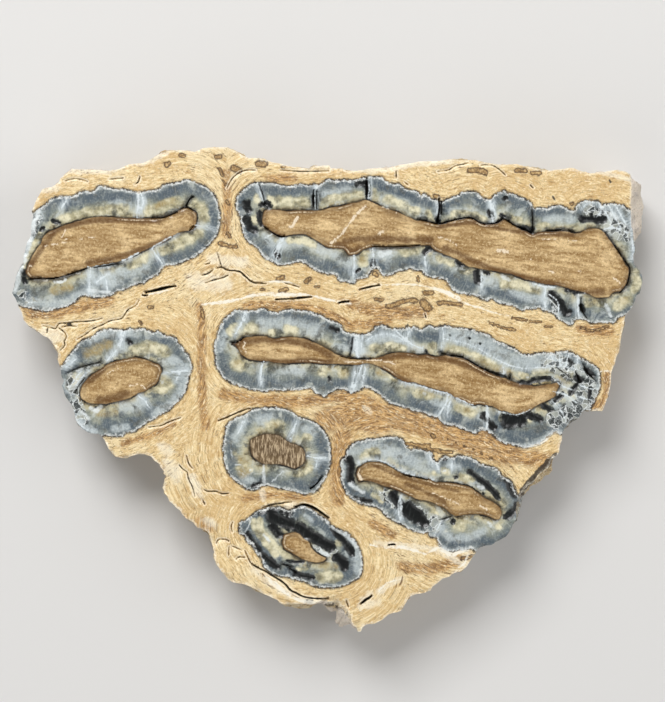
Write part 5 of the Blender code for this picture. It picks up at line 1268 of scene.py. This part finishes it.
# Painted highlight: a pale lip along each side of the open cracks, where the crack edge catches the light.
lip = times(fade(reckon("ABSOLUTE", reckon("SUBTRACT", wanted["crack"], 0.16)), 0.14, 0.02),
            fade(grain, 0.4, 0.56, 0.2, 0.75))
paint = laid(paint, lip, 250, 238, 212)
# Painted shade: the shade mask darkens the cementum on the shadowed broken rim at the lower right, in the
# pits at the bottom tip and in a few spots near the rim.
shaded = fade(swung(wanted["shade"], grain, 0.8), 0.2, 0.7)
paint = laid(paint, times(shaded, fade(wanted["shade"], 0.0, 0.2), 0.92), 34, 28, 24)
# Painted highlight: the face's rim and the top of the broken wall are lightened where the edge catches the
# light, with some pale crust.
lit_rim_and_crust = reckon("ADD", reckon("ABSOLUTE", wanted["rim_gap"]), reckon("MULTIPLY_ADD", lumps, 1.6, -0.8))
paint = laid(paint, times(fade(lit_rim_and_crust, 0.4, -0.1), fade(grain, 0.4, 0.6, 0.2, 0.9)), 248, 240, 220)
near_band = fade(swung(wanted["in_band"], grain, 1.1), -0.40, -0.08)
paint = laid(paint, times(near_band, fade(lumps, 0.36, 0.54, 0.65, 1.0)), 42, 35, 28)
tree.links.new(paint, given["Color"])
tree.links.new(reckon("MULTIPLY_ADD", grain, 0.7, times(layers, 0.6)), given["Height"])
cementum_group = tree

tooth_inputs = ("in_band", "in_core", "slate", "pale", "cream", "ochre", "white", "black", "shatter", "brown",
                "chip", "crystals", "stain", "bleach", "canal", "shade", "crack", "vein", "rim_gap")
wanted, given = new_group(
    "tooth_pattern", (("place", "Vector"), ("growth", "Vector")) + floats(*tooth_inputs),
    (("Color", "Color"), ("Roughness", "Float"), ("Height", "Float")))
layers_of_tooth = []
for group in (cementum_group, enamel_group, dentine_group):
    names = [item.name for item in group.interface.items_tree if item.in_out == "INPUT"]
    layers_of_tooth.append(use_group(group, {label: wanted[label] for label in names}))
cementum, enamel, dentine = layers_of_tooth
place = wanted["place"]
jagged = grainy(place, 1.7, 5.0, 0.8)
fine = grainy(place, 4.5, 3.0, 0.7)
wander = reckon("MULTIPLY_ADD", jagged, 1.5, -0.75)
is_enamel = fade(reckon("ADD", wanted["in_band"], wander), -0.03, 0.03)
is_dentine = fade(reckon("ADD", wanted["in_core"], times(wander, 0.45)), -0.04, 0.03)
paint = mixed(is_enamel, cementum["Color"], enamel["Color"])
paint = mixed(is_dentine, paint, dentine["Color"])
core_line = fade(reckon("ABSOLUTE", reckon("ADD", reckon("ADD", wanted["in_core"], 0.07),
                                           times(wander, 0.45))), 0.15, 0.04)
core_line = times(core_line, fade(grainy(place, 0.4, 3.0), 0.4, 0.58, 0.3, 1.0))
paint = laid(paint, core_line, 22, 19, 16)
healed = reckon("ADD", wanted["vein"], times(wander, 0.6))
patchy = grainy(place, 0.9, 3.0, 0.6)
paint = mixed(times(fade(healed, 0.08, -0.06), fade(patchy, 0.36, 0.52, 0.2, 0.92)), paint,
              mixed(is_enamel, colour(240, 234, 218), colour(214, 222, 224)))
opened = reckon("ADD", wanted["crack"], times(wander, 0.28))
paint = laid(paint, times(fade(opened, 0.05, -0.03), fade(fine, 0.36, 0.46, 0.6, 0.97)), 24, 18, 12)
tree.links.new(paint, given["Color"])
gloss = reckon("MULTIPLY_ADD", is_enamel, -0.16, 0.42)
tree.links.new(reckon("MULTIPLY_ADD", jagged, 0.12, gloss), given["Roughness"])
height = reckon("ADD", times(cementum["Height"], reckon("SUBTRACT", 1.0, is_enamel)),
                times(enamel["Height"], is_enamel, 0.4))
tree.links.new(reckon("ADD", height, times(fade(opened, 0.1, 0.0), -1.5)), given["Height"])
tooth_group = tree


def tooth_finish(name):
    """A material with the tooth's pattern laid out in it, ready for its own gloss and relief."""
    global tree
    material = bpy.data.materials.new(name)
    material.use_nodes = True
    tree = material.node_tree
    surface = tree.nodes["Principled BSDF"]
    spot = tree.nodes.new("ShaderNodeTexCoord").outputs["Object"]
    values = {"place": stretched(spot, (1000.0, 1000.0, 1000.0))}
    for label in ("growth",) + tooth_inputs:
        node = tree.nodes.new("ShaderNodeAttribute")
        node.attribute_name = label
        values[label] = node.outputs["Vector" if label == "growth" else "Fac"]
    pattern = use_group(tooth_group, values)
    bump = tree.nodes.new("ShaderNodeBump")
    tree.links.new(bump.outputs["Normal"], surface.inputs["Normal"])
    return material, surface, pattern, bump, values["place"]


polished, surface, pattern, bump, _ = tooth_finish("polished_tooth")
tree.links.new(pattern["Color"], surface.inputs["Base Color"])
tree.links.new(pattern["Roughness"], surface.inputs["Roughness"])
tree.links.new(pattern["Height"], bump.inputs["Height"])
bump.inputs["Strength"].default_value = 0.4
bump.inputs["Distance"].default_value = 0.00008

broken_side, surface, pattern, bump, place = tooth_finish("broken_tooth")
crumb = grainy(place, 1.1, 6.0, 0.75)
grit = grainy(place, 4.2, 4.0, 0.8)
blotch = grainy(place, 0.35, 5.0, 0.7)
paint = mixed(fade(blotch, 0.5, 0.62, 0.0, 0.6), pattern["Color"], colour(222, 206, 176))
paint = laid(paint, fade(blotch, 0.46, 0.34, 0.0, 0.55), 142, 106, 62)
paint = laid(paint, fade(crumb, 0.52, 0.62, 0.0, 0.65), 238, 224, 194)
paint = laid(paint, fade(crumb, 0.46, 0.36, 0.0, 0.8), 98, 68, 36)
paint = laid(paint, fade(grit, 0.54, 0.66, 0.0, 0.7), 248, 240, 222)
paint = laid(paint, fade(grit, 0.45, 0.33, 0.0, 0.75), 64, 46, 28)
chalky = tree.nodes.new("ShaderNodeAttribute")
chalky.attribute_name = "bleach"
chalk = times(fade(chalky.outputs["Fac"], 0.0, 0.5), fade(grit, 0.36, 0.54, 0.35, 0.9))
paint = laid(paint, chalk, 240, 228, 214)
tree.links.new(paint, surface.inputs["Base Color"])
tree.links.new(fade(crumb, 0.3, 0.7, 0.6, 0.85), surface.inputs["Roughness"])
tree.links.new(reckon("MULTIPLY_ADD", grit, 0.5, crumb), bump.inputs["Height"])
bump.inputs["Strength"].default_value = 0.9
bump.inputs["Distance"].default_value = 0.0005

sawn_back, surface, pattern, bump, place = tooth_finish("sawn_tooth")
saw_lines = tree.nodes.new("ShaderNodeTexWave")
tree.links.new(place, saw_lines.inputs["Vector"])
saw_lines.inputs["Scale"].default_value = 0.8
saw_lines.inputs["Distortion"].default_value = 1.2
tree.links.new(mixed(0.35, pattern["Color"], colour(190, 170, 140)), surface.inputs["Base Color"])
tree.links.new(fade(saw_lines.outputs[1], 0.0, 1.0, 0.55, 0.75), surface.inputs["Roughness"])
tree.links.new(saw_lines.outputs[1], bump.inputs["Height"])
bump.inputs["Strength"].default_value = 0.4
bump.inputs["Distance"].default_value = 0.0001

for finish in (polished, broken_side, sawn_back):
    mesh.materials.append(finish)
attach(slice_piece, "root")
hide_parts("tooth_slice")

# The table that the slice lies on: a plain pale board with a matt finish, far larger than the
# slice. It belongs to the picture alone.
TABLE_REACH = 1.5
table_mesh = bpy.data.meshes.new("table")
table_corners = [(x * TABLE_REACH, y * TABLE_REACH, 0) for x, y in ((-1, -1), (1, -1), (1, 1), (-1, 1))]
table_mesh.from_pydata(table_corners, [], [(0, 1, 2, 3)])
table = bpy.data.objects.new("table", table_mesh)
table.location.z = -0.00005
bpy.context.scene.collection.objects.link(table)
table_finish = bpy.data.materials.new("pale_table")
table_finish.use_nodes = True
table_finish.node_tree.nodes["Principled BSDF"].inputs["Base Color"].default_value = (0.66, 0.65, 0.635, 1.0)
table_finish.node_tree.nodes["Principled BSDF"].inputs["Roughness"].default_value = 0.9
table_mesh.materials.append(table_finish)

# Soft studio light. One large lamp beyond the straight edge gives most of it, two weak ones fill
# the shadows, and the studio around glows near the horizon and is dark overhead, so the polished
# face has nothing bright to mirror.
HORIZON_GLOW, ZENITH_GLOW = 0.75, 0.13
for name, place, size, power in (("key", (-0.2, 0.48, 0.56), 0.4, 5.4), ("fill", (0.5, 0.0, 0.45), 0.5, 1.3),
                                 ("front", (-0.25, -0.52, 0.45), 0.5, 0.9)):
    lamp = bpy.data.lights.new(name, "AREA")
    lamp.size = size
    lamp.energy = power
    lamp_object = bpy.data.objects.new(name, lamp)
    lamp_object.location = place
    lamp_object.rotation_euler = (-Vector(place)).to_track_quat("-Z", "Y").to_euler()
    bpy.context.scene.collection.objects.link(lamp_object)
world = bpy.data.worlds.new("studio")
world.use_nodes = True
tree = world.node_tree
direction = tree.nodes.new("ShaderNodeSeparateXYZ")
tree.links.new(tree.nodes.new("ShaderNodeTexCoord").outputs["Generated"], direction.inputs[0])
glow = fade(direction.outputs[2], 0.0, 0.9, HORIZON_GLOW, ZENITH_GLOW)
tree.links.new(glow, tree.nodes["Background"].inputs["Strength"])
tree.nodes["Background"].inputs["Color"].default_value = (1.0, 1.0, 1.0, 1.0)
bpy.context.scene.world = world
bpy.context.scene.view_settings.view_transform = "Standard"

# The camera looks straight down on the polished face, through a long lens. Each pixel of its
# picture takes in 0.14 mm of the face.
PIXEL = 0.14
PICTURE_HEIGHT = 702
PICTURE_MIDDLE = (0.28, 5.67)
camera_data = bpy.data.cameras.new("camera")
camera_data.sensor_width = 36.0
camera_data.lens = 120.0
camera_data.clip_start = 0.01
camera = bpy.data.objects.new("camera", camera_data)
reach = PICTURE_HEIGHT * PIXEL * camera_data.lens / camera_data.sensor_width
camera.location = (PICTURE_MIDDLE[0] * MM, PICTURE_MIDDLE[1] * MM, (FACE_HEIGHT + reach) * MM)
bpy.context.scene.collection.objects.link(camera)
bpy.context.scene.camera = camera
